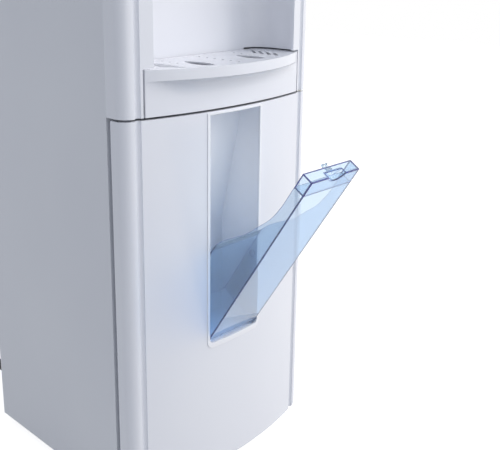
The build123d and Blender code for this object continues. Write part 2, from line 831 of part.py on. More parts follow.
with BuildPart() as water_lines:
    bent_tube(
        [
            (probe_x, middle(pump_y), pump_low + pump_height + 10),
            (probe_x, middle(pump_y), pump_low + pump_height + 40),
            (probe_x, liner_back + 16, pump_low + pump_height + 40),
            (probe_x, liner_back + 16, cold_top + 22),
            (cold_x - 20, liner_back + 16, cold_top + 22),
            (cold_x - 20, tank_y, cold_top + 22),
            (cold_x - 20, tank_y, cold_top),
        ],
        line_radius,
        line_bend,
    )
    bent_tube(
        [
            (cold_x + 20, tank_y, cold_top),
            (cold_x + 20, tank_y, cold_top + 22),
            (cold_x + 20, liner_back + 16, cold_top + 22),
            (cold_x + 20, liner_back + 16, valve_line + 40),
            (nozzle_spacing, liner_back + 16, valve_line + 40),
            (nozzle_spacing, liner_back + 16, valve_line),
            (nozzle_spacing, valve_tail, valve_line),
        ],
        line_radius,
        line_bend,
    )
    bent_tube(
        [
            (hot_x - 18, tank_y, hot_top),
            (hot_x - 18, tank_y, hot_top + 34),
            (hot_x - 18, liner_back + 34, hot_top + 34),
            (-nozzle_spacing, liner_back + 34, hot_top + 34),
            (-nozzle_spacing, liner_back + 34, valve_line),
            (-nozzle_spacing, valve_tail, valve_line),
        ],
        line_radius,
        line_bend,
    )
water_lines.part.label = "water_lines"
export_step(water_lines.part, "parts/water_lines.step")

drier_low = deck_top + 40.0
with BuildPart() as filter_drier:
    rod((drier_x, drier_y, drier_low), (0, 0, 1), 11, 110)
    fillet(filter_drier.edges().filter_by(GeomType.CIRCLE), radius=5)
    rod((drier_x, drier_y, drier_low - 8), (0, 0, 1), 3, 126)
filter_drier.part.label = "filter_drier"
export_step(filter_drier.part, "parts/filter_drier.step")

stub_top = compressor_low + compressor_height + 6.0
line_high = tank_shelf_height - 6.0
refrigerant_radius = 2.4
capillary_radius = 1.2

with BuildPart() as refrigerant_lines:
    bent_tube(
        [
            (compressor_x + stub_offset, compressor_y, stub_top),
            (compressor_x + stub_offset, compressor_y, line_high),
            (condenser_x, compressor_y, line_high),
            (condenser_x, compressor_y, condenser_high),
            (condenser_x, rear_y - 8, condenser_high),
        ],
        refrigerant_radius,
        8,
    )
    bent_tube(
        [
            (return_x, rear_y - 8, condenser_high),
            (return_x, drier_y, condenser_high),
            (return_x, drier_y, drier_low + 140),
            (drier_x, drier_y, drier_low + 140),
            (drier_x, drier_y, drier_low + 118),
        ],
        refrigerant_radius,
        8,
    )
    bent_tube(
        [
            (compressor_x - stub_offset, compressor_y, stub_top),
            (compressor_x - stub_offset, compressor_y, line_high),
            (riser_x, compressor_y, line_high),
            (riser_x, suction_y, line_high),
            (riser_x, suction_y, tank_base + 40),
            (insulation_side, suction_y, tank_base + 40),
        ],
        refrigerant_radius,
        8,
    )
    bent_tube(
        [
            (drier_x, drier_y, drier_low - 8),
            (drier_x, drier_y, drier_low - 18),
            (riser_x, drier_y, drier_low - 18),
            (riser_x, drier_y, tank_base + 70),
            (riser_x, capillary_y, tank_base + 70),
            (insulation_side, capillary_y, tank_base + 70),
        ],
        capillary_radius,
        5,
    )
refrigerant_lines.part.label = "refrigerant_lines"
export_step(refrigerant_lines.part, "parts/refrigerant_lines.step")

# ---------------------------------------------------------------- condenser and rear fittings

condenser_runs = 12
condenser_pitch = (condenser_high - condenser_low) / (condenser_runs - 1)
condenser_tube = 2.4
condenser_y = rear_y + 12.0
wire_count = 15
wire_size = 1.6
condenser_bend = condenser_pitch / 2 - 0.5

line_end = rear_y - 8.0
entry_bend = 9.0
condenser_route = [
    (return_x, line_end, condenser_high),
    (return_x, condenser_y, condenser_high),
    (return_x, condenser_y, condenser_low),
    (-condenser_x, condenser_y, condenser_low),
]
for run in range(1, condenser_runs):
    run_z = condenser_low + run * condenser_pitch
    run_ends = (condenser_x, -condenser_x) if run % 2 == 0 else (-condenser_x, condenser_x)
    condenser_route += [(end, condenser_y, run_z) for end in run_ends]
condenser_route.append((condenser_x, line_end, condenser_high))
corner_radii = [entry_bend] * 2 + [condenser_bend] * (2 * condenser_runs - 2) + [entry_bend]

with BuildPart() as condenser_coil:
    with BuildLine() as serpentine:
        FilletPolyline(*condenser_route, radius=corner_radii)
    with BuildSketch(Plane(origin=serpentine.line @ 0, z_dir=serpentine.line % 0)):
        Circle(condenser_tube)
    sweep(path=serpentine.line)
condenser_coil.part.label = "condenser_coil"
export_step(condenser_coil.part, "parts/condenser_coil.step")

with BuildPart() as condenser_wires:
    wire_reach = condenser_x - condenser_pitch / 2
    for wire in range(wire_count):
        wire_x = -wire_reach + 2 * wire_reach * wire / (wire_count - 1)
        wire_y = condenser_y + condenser_tube
        block(
            (wire_x - wire_size / 2, wire_x + wire_size / 2),
            (wire_y, wire_y + wire_size),
            (condenser_low - 10, condenser_high + 10),
        )
condenser_wires.part.label = "condenser_wires"
export_step(condenser_wires.part, "parts/condenser_wires.step")

spacer_places = [
    (x, z) for x in (-half + 12, half - 12) for z in (condenser_low - 30, condenser_high + 40)
]
with BuildPart() as wall_spacers:
    with BuildSketch(front_plane(rear_y)):
        with Locations(*spacer_places):
            Circle(8)
    extrude(amount=rear_space)
wall_spacers.part.label = "wall_spacers"
export_step(wall_spacers.part, "parts/wall_spacers.step")

gland_bore = 4.0
gland_length = 16.0
with BuildPart() as cord_gland:
    rod((gland_x, rear_y - 6, gland_z), (0, 1, 0), gland_radius, gland_length)
    rod((gland_x, rear_y, gland_z), (0, 1, 0), gland_radius + 3, 3)
    rod((gland_x, rear_y - 6, gland_z), (0, 1, 0), gland_bore, gland_length, Mode.SUBTRACT)
cord_gland.part.label = "cord_gland"
export_step(cord_gland.part, "parts/cord_gland.step")

with BuildPart() as drain_plug:
    rod((drain_x, rear_y + 2, drain_z), (0, -1, 0), drain_radius, 9)
    rod((drain_x, rear_y + 2, drain_z), (0, 1, 0), drain_radius + 4, 10)
drain_plug.part.label = "drain_plug"
export_step(drain_plug.part, "parts/drain_plug.step")

rocker_width = 18.0
rocker_height = 22.0
rocker_angle = 9.0
rocker_axis_y = rear_y - 2.0
rocker_pin_radius = 1.5
rocker_pin_reach = 1.5
rocker_names = {"hot_rocker": -switch_pitch / 2, "cold_rocker": switch_pitch / 2}

with BuildPart() as switch_bezel:
    block(
        (switch_x - bezel_width / 2, switch_x + bezel_width / 2),
        (rear_y, rear_y + 3),
        (switch_z - bezel_height / 2, switch_z + bezel_height / 2),
    )
    fillet(switch_bezel.edges().filter_by(Axis.Y), radius=3)
    block(
        (switch_x - switch_cut + 1, switch_x + switch_cut - 1),
        (rear_y - 18, rear_y),
        (switch_z - bezel_height / 2 + 5, switch_z + bezel_height / 2 - 5),
    )
    for rocker_dx in rocker_names.values():
        rocker_x = switch_x + rocker_dx
        block(
            (rocker_x - rocker_width / 2 - air, rocker_x + rocker_width / 2 + air),
            (rear_y - 12, rear_y + 3),
            (switch_z - rocker_height / 2 - air, switch_z + rocker_height / 2 + air),
            Mode.SUBTRACT,
        )
        socket_reach = rocker_width / 2 + rocker_pin_reach + air
        socket_start = (rocker_x - socket_reach, rocker_axis_y, switch_z)
        rod(socket_start, (1, 0, 0), rocker_pin_radius + running_fit, 2 * socket_reach, Mode.SUBTRACT)
switch_bezel.part.label = "switch_bezel"
export_step(switch_bezel.part, "parts/switch_bezel.step")

for rocker_name, rocker_dx in rocker_names.items():
    rocker_x = switch_x + rocker_dx
    lean = radians(rocker_angle)
    rocker_plane = Plane(
        origin=(rocker_x - rocker_width / 2, rocker_axis_y, switch_z),
        x_dir=(0, cos(lean), sin(lean)),
        z_dir=(1, 0, 0),
    )
    tip = rocker_height / 2 - 1.0
    with BuildPart() as rocker:
        with BuildSketch(rocker_plane):
            with BuildLine():
                Polyline(
                    (-1, -tip + 3),
                    (4, -tip),
                    (8.5, -tip),
                    (6.6, 0),
                    (8.5, tip),
                    (4, tip),
                    (-1, tip - 3),
                    (-1, -tip + 3),
                )
            make_face()
        extrude(amount=rocker_width)
        pin_reach = rocker_width / 2 + rocker_pin_reach
        pin_start = (rocker_x - pin_reach, rocker_axis_y, switch_z)
        rod(pin_start, (1, 0, 0), rocker_pin_radius, 2 * pin_reach)
    rocker.part.label = rocker_name
    export_step(rocker.part, f"parts/{rocker_name}.step")

screw_inset = 8.0
screw_places = [
    (x, z)
    for x in (-half + screw_inset, half - screw_inset)
    for z in (door_bottom + 14, seam_height, cover_bottom - 14)
]
with BuildPart() as rear_screws:
    with BuildSketch(front_plane(rear_y)):
        with Locations(*screw_places):
            Circle(4)
    extrude(amount=2.4)
    fillet(rear_screws.faces().sort_by(Axis.Y)[-len(screw_places):].edges(), radius=1.2)
rear_screws.part.label = "rear_screws"
export_step(rear_screws.part, "parts/rear_screws.step")

# ---------------------------------------------------------------- door

bezel_half = window_half + bezel_rim
boss_half = 10.0
bush_radius = 7.0
bush_length = 13.0
lower_bush_z = door_bottom + 6.0
door_inner_low = door_bottom + shell_wall
door_inner_high = door_top - shell_wall
upper_bush_z = door_inner_high - bush_length
bezel_low = window_bottom - bezel_sill
bezel_high = window_top + bezel_head
bezel_corner = window_corner + bezel_rim
pocket_half = window_half + 2.0
liner_face = door_back - 4.0
hollow_edge = half - shell_wall
hollow_height = door_inner_high - door_inner_low

with BuildPart() as door_hollow:
    extrude(front_outline(door_inner_low, shell_wall, door_back, False), amount=hollow_height)
    for side in (-1, 1):
        with BuildSketch(front_plane(apex_y)) as corner_cut:
            with BuildLine():
                Polyline(
                    (side * (hollow_edge - hollow_cut - 1), door_inner_low - 1),
                    (side * (hollow_edge + 1), door_inner_low - 1),
                    (side * (hollow_edge + 1), door_inner_low + hollow_cut + 1),
                    (side * (hollow_edge - hollow_cut - 1), door_inner_low - 1),
                )
            make_face()
        extrude(corner_cut.sketch, amount=door_back - apex_y, mode=Mode.SUBTRACT)
    boss_y = (hinge_y - boss_half, hinge_y + boss_half - 1)
    for boss_z in ((door_bottom, lower_bush_z + bush_length), (upper_bush_z, door_top)):
        block((hinge_x - boss_half, half), boss_y, boss_z, Mode.SUBTRACT)

with BuildPart() as door_panel:
    extrude(front_outline(door_bottom, 0, door_back), amount=door_top - door_bottom)
    extrude(
        upright(apex_y - air, half, door_bottom, door_top, door_corner),
        amount=door_back - apex_y + 2 * air,
        mode=Mode.INTERSECT,
    )
    add(door_hollow.part, mode=Mode.SUBTRACT)
    for bush_z in (lower_bush_z, upper_bush_z):
        rod((hinge_x, hinge_y, bush_z), (0, 0, 1), bush_radius, bush_length, Mode.SUBTRACT)
    pin_bottom = (hinge_x, hinge_y, door_bottom)
    rod(pin_bottom, (0, 0, 1), hinge_pin_radius + air, door_top - door_bottom, Mode.SUBTRACT)
    recess = upright(apex_y - 1, bezel_half, bezel_low, bezel_high, bezel_corner)
    extrude(recess, amount=bow_rise - 4, mode=Mode.SUBTRACT)
door_panel.part.label = "door_panel"
export_step(door_panel.part, "parts/door_panel.step")

with BuildPart() as hinge_bushes:
    for bush_z in (lower_bush_z, upper_bush_z):
        rod((hinge_x, hinge_y, bush_z), (0, 0, 1), bush_radius, bush_length)
    rod(pin_bottom, (0, 0, 1), hinge_pin_radius + running_fit, door_top - door_bottom, Mode.SUBTRACT)
hinge_bushes.part.label = "hinge_bushes"
export_step(hinge_bushes.part, "parts/hinge_bushes.step")

bracket_plate = 2.0
bracket_gap = (seam_gap - bracket_plate) / 2
bracket_flange = 1.5
bracket_x = (groove_x + 2.0, half - 2.0)
bracket_nose = 9.0
bracket_levels = {
    door_bottom - bracket_gap - bracket_plate: (foot_height + 2, door_bottom - bracket_gap, 1),
    door_top + bracket_gap: (door_top - 18, door_top + bracket_gap + bracket_plate, -1),
}

with BuildPart() as hinge_brackets:
    for plate_z, (flange_low, flange_high, pin_way) in bracket_levels.items():
        rod((hinge_x, hinge_y, plate_z), (0, 0, 1), bracket_nose, bracket_plate)
        block(
            (hinge_x - bracket_nose, bracket_x[1]),
            (hinge_y, frame_y),
            (plate_z, plate_z + bracket_plate),
        )
        block(bracket_x, (frame_y - bracket_flange, frame_y), (flange_low, flange_high))
        pin_start = plate_z + bracket_plate if pin_way > 0 else plate_z
        rod((hinge_x, hinge_y, pin_start), (0, 0, pin_way), hinge_pin_radius, 14)
hinge_brackets.part.label = "hinge_brackets"
export_step(hinge_brackets.part, "parts/hinge_brackets.step")

pocket_low = window_bottom - 2.0
pocket_high = door_inner_high - pocket_wall - 0.2
neck_back = liner_face - pocket_wall - 0.2
slope_top = pocket_high - 18.0
slope_bottom = window_bottom + 152.0
cut_half = pocket_half + pocket_wall + air

with BuildPart() as door_liner:
    extrude(
        upright(
            liner_face,
            hollow_edge - air,
            door_inner_low + air,
            door_inner_high - air,
            door_corner - shell_wall - air,
        ),
        amount=door_back - liner_face,
    )
    block(
        (-cut_half, cut_half),
        (liner_face, door_back),
        (pocket_low - pocket_wall - air, slope_top + 4),
        Mode.SUBTRACT,
    )
door_liner.part.label = "door_liner"
export_step(door_liner.part, "parts/door_liner.step")

gasket_half = groove_x - 0.5
gasket_low = door_bottom + 5.0
gasket_high = door_top - 5.0

with BuildPart() as door_gasket:
    block((-gasket_half, gasket_half), (door_back, door_back + gasket_thickness), (gasket_low, gasket_high))
    block(
        (-gasket_half + gasket_width, gasket_half - gasket_width),
        (door_back, door_back + gasket_thickness),
        (gasket_low + gasket_width, gasket_high - gasket_width),
        Mode.SUBTRACT,
    )
door_gasket.part.label = "door_gasket"
export_step(door_gasket.part, "parts/door_gasket.step")

with BuildPart() as window_bezel:
    band_low = bezel_low - bezel_rim
    extrude(
        bow_band(band_low, bezel_half + bezel_rim, -bezel_proud, bow_rise),
        amount=bezel_high + bezel_rim - band_low,
    )
    rim_front = apex_y - 2 * bezel_proud
    rim = upright(rim_front, bezel_half, bezel_low, bezel_high, bezel_corner)
    extrude(rim, amount=bezel_back - rim_front, mode=Mode.INTERSECT)
    opening = upright(rim_front, window_half, window_bottom, window_top, window_corner)
    extrude(opening, amount=bow_rise + bezel_depth, mode=Mode.SUBTRACT)
window_bezel.part.label = "window_bezel"
export_step(window_bezel.part, "parts/window_bezel.step")


def pocket_profile(grow):
    """Side view of the pocket's hollow, grown by a wall where it isn't open."""
    with BuildSketch(Plane(origin=(0, 0, 0), x_dir=(0, 1, 0), z_dir=(1, 0, 0))) as profile:
        with BuildLine():
            Polyline(
                (bezel_back, pocket_low - grow),
                (pocket_back - pocket_wall + grow, pocket_low - grow),
                (pocket_back - pocket_wall + grow, slope_bottom),
                (neck_back + grow, slope_top),
                (neck_back + grow, pocket_high + grow),
                (bezel_back, pocket_high + grow),
                (bezel_back, pocket_low - grow),
            )
        make_face()
    return profile.sketch


pocket_corner = 5.0

with BuildPart() as pocket_hollow:
    extrude(pocket_profile(0), amount=pocket_half, both=True)
    floor_edges = pocket_hollow.edges().filter_by(Axis.Y).group_by(Axis.Z)[0]
    fillet(floor_edges, radius=pocket_corner - pocket_wall)

with BuildPart() as bin_pocket:
    extrude(pocket_profile(pocket_wall), amount=pocket_half + pocket_wall, both=True)
    fillet(bin_pocket.edges().filter_by(Axis.Y).group_by(Axis.Z)[0], radius=pocket_corner)
    add(pocket_hollow.part, mode=Mode.SUBTRACT)
    pivot_start = (-half, pivot_y, pivot_z)
    rod(pivot_start, (1, 0, 0), pivot_pin_radius + running_fit, cabinet_width, Mode.SUBTRACT)
bin_pocket.part.label = "bin_pocket"
export_step(bin_pocket.part, "parts/bin_pocket.step")

catch_height = 1.9
catch_low = pocket_high - catch_height
catch_slots = (-27.0, -20.0, -13.0)
with BuildPart() as bin_catch:
    block((-pocket_half + 1, 31), (bezel_back + 0.5, bezel_back + 19), (catch_low, pocket_high))
    for slot_x in catch_slots:
        block((slot_x, slot_x + 5), (bezel_back, bezel_back + 5), (catch_low, pocket_high), Mode.SUBTRACT)
bin_catch.part.label = "bin_catch"
export_step(bin_catch.part, "parts/bin_catch.step")

magnet_x = -half + 60.0
magnet_high = gasket_high - gasket_width - 2.0
with BuildPart() as door_magnet:
    block((magnet_x - 11, magnet_x + 11), (door_back, door_back + 5), (magnet_high - 10, magnet_high))
door_magnet.part.label = "door_magnet"
export_step(door_magnet.part, "parts/door_magnet.step")

with BuildPart() as reed_switch:
    block((magnet_x - 12, magnet_x + 12), (shelf_front, shelf_front + 7), (deck_top, deck_top + 9))
reed_switch.part.label = "reed_switch"
export_step(reed_switch.part, "parts/reed_switch.step")

# ---------------------------------------------------------------- tilt-out bin, open

bin_depth_way = Vector(0, cos(tilt), sin(tilt))
bin_length_way = Vector(0, -sin(tilt), cos(tilt))
bin_corner = Vector(0, pivot_y, pivot_z) - bin_depth_way * bin_roll - bin_length_way * bin_roll
bin_plane = Plane(origin=bin_corner, x_dir=bin_depth_way, z_dir=(1, 0, 0))
bin_front_plane = Plane(origin=bin_corner, x_dir=(-1, 0, 0), z_dir=bin_depth_way)
bin_back_height = 118.0
bin_neck_height = 288.0
# The side wall's swept edge, in depth and length, from the deep part up to the narrow one.
bin_sweep = ((69.2, 141.0), (57.5, 165.0), (40.5, 193.0), (28.5, 223.0), (20.6, 246.0), (17.8, 268.0))
bin_inner = bin_half - bin_wall
box_low = bin_length - bin_box_height
scoop_x = 3.5
scoop_half = 17.5
scoop_drop = 8.5
scoop_reach = 9.0
scoop_radius = (scoop_half**2 + scoop_drop**2) / (2 * scoop_drop)
scoop_centre = bin_length - scoop_drop + scoop_radius
side_gap = pocket_half - bin_half
stop_radius = 5.0
stop_rise = 100.0


def slab(start, end, reach, mode=Mode.ADD):
    """A box in the bin's own directions, from one corner in depth and length to the other."""
    with BuildSketch(bin_plane) as face:
        with Locations(((start[0] + end[0]) / 2, (start[1] + end[1]) / 2)):
            Rectangle(end[0] - start[0], end[1] - start[1])
    extrude(face.sketch, amount=reach, both=True, mode=mode)


with BuildPart() as tilt_bin:
    with BuildSketch(bin_plane):
        with BuildLine():
            Line((bin_roll, 0), (bin_depth - 6, 0))
            RadiusArc((bin_depth - 6, 0), (bin_depth, 6), -6)
            Line((bin_depth, 6), (bin_depth, bin_back_height))
            Spline(
                (bin_depth, bin_back_height),
                *bin_sweep,
                (bin_box_depth, bin_neck_height),
                tangents=((0, 1), (0, 1)),
            )
            Polyline(
                (bin_box_depth, bin_neck_height),
                (bin_box_depth, bin_length),
                (0, bin_length),
                (0, bin_roll),
            )
            RadiusArc((0, bin_roll), (bin_roll, 0), -bin_roll)
        make_face()
    extrude(amount=bin_half, both=True)
    slab((bin_face, bin_wall), (bin_depth - bin_wall, box_low), bin_inner, Mode.SUBTRACT)
    slab((bin_face, box_low + bin_wall), (bin_depth, bin_length - bin_wall), bin_inner, Mode.SUBTRACT)
    with BuildSketch(bin_front_plane) as cup:
        with Locations((-scoop_x, scoop_centre)):
            Circle(scoop_radius + 2)
        with Locations((-scoop_x, bin_length + scoop_radius)):
            Rectangle(4 * scoop_radius, 2 * scoop_radius, mode=Mode.SUBTRACT)
    extrude(cup.sketch, amount=scoop_reach + 2)
    with BuildSketch(bin_front_plane) as notch:
        with Locations((-scoop_x, scoop_centre)):
            Circle(scoop_radius)
    extrude(notch.sketch, amount=scoop_reach, mode=Mode.SUBTRACT)
    stop_y = bezel_back + stop_radius + air
    for side in (-1, 1):
        pin_start = (side * bin_half, pivot_y, pivot_z)
        rod(pin_start, (side, 0, 0), pivot_pin_radius + bin_wall, side_gap - air)
        rod(pin_start, (side, 0, 0), pivot_pin_radius, side_gap + pocket_wall - air)
        stop_start = (side * bin_half, stop_y, pivot_z + stop_rise)
        rod(stop_start, (side, 0, 0), stop_radius, side_gap - 2 * air)
tilt_bin.part.label = "tilt_bin"
export_step(tilt_bin.part, "parts/tilt_bin.step")

clip_half = 5.0
clip_wall = 2.0
clip_top = bin_length - bin_wall
clip_end = bin_box_depth + 6.0
with BuildPart() as bin_latch_clip:
    slab((scoop_reach + 3, clip_top - clip_wall), (clip_end, clip_top), clip_half)
    slab((clip_end - clip_wall, clip_top), (clip_end, clip_top + 2), clip_half)
    slab((bin_box_depth, clip_top - 3), (clip_end, clip_top + 3), clip_half / 3, Mode.SUBTRACT)
bin_latch_clip.part.label = "bin_latch_clip"
export_step(bin_latch_clip.part, "parts/bin_latch_clip.step")

# ---------------------------------------------------------------- drip tray

tray_back = face_y + tray_depth
grille_half = tray_half - tray_rim
grille_seat = 3.0
grille_thickness = 2.5
grille_gap = 0.4
sump_half = grille_half - 10.0
sump_back = tray_back - 10.0
sump_low = tray_bottom + tray_wall
lip_low = tray_top - lip_height
lip_apex = apex_y - lip_reach
sump_step = lip_low - 3.0
tray_side_y = bow_y(tray_half)
# The lip's underside curves out from the tray's front: how far it has reached, and how far below the lip.
lip_cove = ((0.0, 24.0), (0.1, 15.0), (0.3, 8.0), (0.6, 3.0), (1.0, 0.0))

with BuildPart() as drip_tray:
    extrude(crescent(tray_bottom, tray_half, tray_side_y, apex_y, tray_back), amount=tray_top - tray_bottom)
    extrude(bow_band(front_bottom, tray_half, 0, tray_wall), amount=tray_bottom - front_bottom)
    extrude(crescent(lip_low, tray_half, tray_side_y, lip_apex, tray_back), amount=lip_height)
    for (low_share, low_drop), (high_share, high_drop) in zip(lip_cove, lip_cove[1:]):
        low_apex = apex_y - low_share * lip_reach
        high_apex = apex_y - high_share * lip_reach
        loft(
            [
                crescent(lip_low - low_drop, tray_half, tray_side_y, low_apex, tray_back),
                crescent(lip_low - high_drop, tray_half, tray_side_y, high_apex, tray_back),
            ],
            ruled=True,
        )
    extrude(
        crescent(sump_low, sump_half, bow_y(sump_half, tray_wall) + 1, apex_y + tray_wall + 1, sump_back),
        amount=sump_step - sump_low,
        mode=Mode.SUBTRACT,
    )
    extrude(
        crescent(sump_step, sump_half, bow_y(sump_half) - 2, lip_apex + tray_rim + 3, sump_back),
        amount=lip_height + 3,
        mode=Mode.SUBTRACT,
    )
    extrude(
        crescent(
            tray_top - grille_seat,
            grille_half,
            bow_y(grille_half) + 1,
            lip_apex + tray_rim,
            tray_back - tray_wall,
        ),
        amount=grille_seat,
        mode=Mode.SUBTRACT,
    )
drip_tray.part.label = "drip_tray"
export_step(drip_tray.part, "parts/drip_tray.step")

hole_pitch = 15.3
hole_radius = 2.5
centre_holes = 6
side_holes = 3
side_hole_x = 70.0
lens_half_length = 31.0
lens_half_width = 10.0
lens_x = 50.0
lens_mid = face_y + 0.5
slot_x = grille_half - 30.0
slot_count = 4
slot_pitch = 14.0
slot_length = 38.0
slot_turn = 51.0
hole_back = tray_back - 17.0
slot_back = hole_back - 12.0

with BuildPart() as drip_grille:
    grille_low = tray_top - grille_seat + 0.1
    extrude(
        crescent(
            grille_low,
            grille_half - grille_gap,
            bow_y(grille_half) + 1 + grille_gap,
            lip_apex + tray_rim + grille_gap,
            tray_back - tray_wall - grille_gap,
        ),
        amount=grille_thickness,
    )
    with BuildSketch(Plane.XY.offset(grille_low)):
        with Locations(*[(0, hole_back - hole_pitch * i) for i in range(centre_holes)]):
            Circle(hole_radius)
        for side in (-1, 1):
            with Locations(*[(side * side_hole_x, hole_back - hole_pitch * i) for i in range(side_holes)]):
                Circle(hole_radius)
            slot_places = [(side * slot_x, slot_back - slot_pitch * i) for i in range(slot_count)]
            with Locations(*slot_places):
                SlotOverall(slot_length, 2 * hole_radius, rotation=side * slot_turn)
    extrude(amount=grille_thickness, mode=Mode.SUBTRACT)
    for side in (-1, 1):
        with BuildSketch(Plane.XY.offset(grille_low)) as lens:
            with BuildLine():
                lens_front = (side * lens_x, lens_mid - lens_half_length)
                lens_back = (side * lens_x, lens_mid + lens_half_length)
                for bulge in (-lens_half_width, lens_half_width):
                    ThreePointArc(lens_front, (side * lens_x + bulge, lens_mid), lens_back)
            make_face()
        extrude(lens.sketch, amount=grille_thickness, mode=Mode.SUBTRACT)
drip_grille.part.label = "drip_grille"
export_step(drip_grille.part, "parts/drip_grille.step")
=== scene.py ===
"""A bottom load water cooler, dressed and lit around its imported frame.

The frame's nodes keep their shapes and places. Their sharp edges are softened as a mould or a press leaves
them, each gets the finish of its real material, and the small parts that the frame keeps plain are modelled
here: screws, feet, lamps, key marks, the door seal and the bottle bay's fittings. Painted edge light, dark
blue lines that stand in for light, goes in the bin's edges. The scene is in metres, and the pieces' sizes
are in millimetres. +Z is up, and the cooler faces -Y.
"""

import json
import logging
import math
from dataclasses import dataclass, field
from enum import Enum

import bmesh
import bpy
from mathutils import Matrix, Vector


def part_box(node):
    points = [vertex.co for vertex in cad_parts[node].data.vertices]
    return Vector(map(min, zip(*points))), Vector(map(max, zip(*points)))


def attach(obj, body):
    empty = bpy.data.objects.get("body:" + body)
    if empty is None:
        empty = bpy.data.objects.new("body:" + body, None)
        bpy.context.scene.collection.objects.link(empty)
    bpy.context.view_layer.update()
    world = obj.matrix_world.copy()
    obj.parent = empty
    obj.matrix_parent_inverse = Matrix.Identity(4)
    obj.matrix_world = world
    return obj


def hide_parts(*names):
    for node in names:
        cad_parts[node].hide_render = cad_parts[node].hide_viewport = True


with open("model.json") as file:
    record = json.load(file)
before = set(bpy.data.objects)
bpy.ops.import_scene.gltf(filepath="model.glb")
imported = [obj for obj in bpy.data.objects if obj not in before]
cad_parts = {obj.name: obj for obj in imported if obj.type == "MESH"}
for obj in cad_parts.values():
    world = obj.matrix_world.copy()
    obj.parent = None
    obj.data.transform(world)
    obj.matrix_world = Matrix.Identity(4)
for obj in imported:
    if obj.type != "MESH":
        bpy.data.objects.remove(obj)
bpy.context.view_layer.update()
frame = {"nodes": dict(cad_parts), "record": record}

LOG = logging.getLogger("water_cooler")
MM = 0.001
# An edge that turns further than this is sharp, on the frame's nodes and on the pieces alike.
SHARP_ANGLE = math.radians(32)
Socket = bpy.types.NodeSocket
Point = tuple[float, float, float]


# ---------------------------------------------------------------- nodes and colours


def linear(hex_colour: str) -> tuple[float, float, float, float]:
    """Turns an sRGB hex colour to linear light.

    Args:
        hex_colour: Six hex digits after a hash, such as "#e8eaf0".

    Returns:
        Red, green, blue and an alpha of 1.
    """
    parts = [int(hex_colour[i : i + 2], 16) / 255 for i in (1, 3, 5)]
    red, green, blue = (c / 12.92 if c <= 0.04045 else ((c + 0.055) / 1.055) ** 2.4 for c in parts)
    return red, green, blue, 1.0


def add_node(
    tree: bpy.types.NodeTree,
    kind: str,
    settings: dict[str, object] | None = None,
    links: dict[str | int, Socket] | None = None,
) -> bpy.types.Node:
    """Adds one node with its settings and links.

    Args:
        tree: The tree that gets the node.
        kind: The node's type.
        settings: Values by the name of an input, or else of a property of the node.
        links: Output sockets by the name or number of the input that each feeds.

    Returns:
        The new node.
    """
    made = tree.nodes.new(kind)
    properties = {k: v for k, v in (settings or {}).items() if hasattr(made, k)}
    for name, value in properties.items():
        setattr(made, name, value)
    for name, value in (settings or {}).items():
        if name not in properties:
            made.inputs[name].default_value = value
    for name, source in (links or {}).items():
        tree.links.new(source, made.inputs[name])
    return made


def blend_colours(tree: bpy.types.NodeTree, factor: Socket, low: str, high: str) -> Socket:
    """Mixes two hex colours by a factor.

    Args:
        tree: The tree that gets the node.
        factor: 0 for the first colour and 1 for the second.
        low: The first hex colour.
        high: The second hex colour.

    Returns:
        The mixed colour's socket.
    """
    mix = add_node(tree, "ShaderNodeMix", {"data_type": "RGBA"}, {0: factor})
    mix.inputs[6].default_value = linear(low)
    mix.inputs[7].default_value = linear(high)
    return mix.outputs[2]


def spread(tree: bpy.types.NodeTree, value: Socket, low: float, high: float) -> Socket:
    """Maps a pattern from 0.3..0.7, where noise mostly lies, to a range.

    Args:
        tree: The tree that gets the node.
        value: The pattern.
        low: What 0.3 becomes.
        high: What 0.7 becomes.

    Returns:
        The result's socket.
    """
    ranged = add_node(
        tree,
        "ShaderNodeMapRange",
        {"From Min": 0.3, "From Max": 0.7, "To Min": low, "To Max": high},
        {"Value": value},
    )
    return ranged.outputs["Result"]


# ---------------------------------------------------------------- finishes


@dataclass(frozen=True)
class Finish:
    """What every finish has: a name, a colour, and a second one that it drifts to."""

    name: str
    colour: str
    shade: str
    roughness: float = 0.35

    def material(self) -> bpy.types.Material:
        """Makes the finish's material once.

        Returns:
            The material, the same one at each call.
        """
        made = bpy.data.materials.get(self.name)
        if made is None:
            made = bpy.data.materials.new(self.name)
            made.use_nodes = True
            made.node_tree.nodes.clear()
            place = add_node(made.node_tree, "ShaderNodeTexCoord").outputs["Object"]
            self.surface(made.node_tree, place)
        return made

    def noise(self, tree: bpy.types.NodeTree, place: Socket, size_mm: float, detail: float = 2.0) -> Socket:
        """Adds noise whose patches are a real size.

        Args:
            tree: The material's nodes.
            place: Coordinates in metres.
            size_mm: The width of a patch.
            detail: How many finer layers lie on it.

        Returns:
            The noise value's socket.
        """
        settings = {"Scale": 1 / (size_mm * MM), "Detail": detail}
        return add_node(tree, "ShaderNodeTexNoise", settings, {"Vector": place}).outputs["Fac"]

    def relief(self, tree: bpy.types.NodeTree, height: Socket, depth_mm: float) -> Socket:
        """Raises the surface by a pattern, to a depth in millimetres, and returns the normal's socket."""
        bump = add_node(tree, "ShaderNodeBump", {"Distance": depth_mm * MM}, {"Height": height})
        return bump.outputs["Normal"]

    def surface(self, tree: bpy.types.NodeTree, place: Socket) -> None:
        """Builds the finish's nodes.

        Args:
            tree: The material's nodes.
            place: Coordinates in metres.
        """
        raise NotImplementedError

    def close(self, tree: bpy.types.NodeTree, shader: bpy.types.Node) -> None:
        """Joins a shader to the material's output."""
        add_node(tree, "ShaderNodeOutputMaterial", None, {"Surface": shader.outputs[0]})


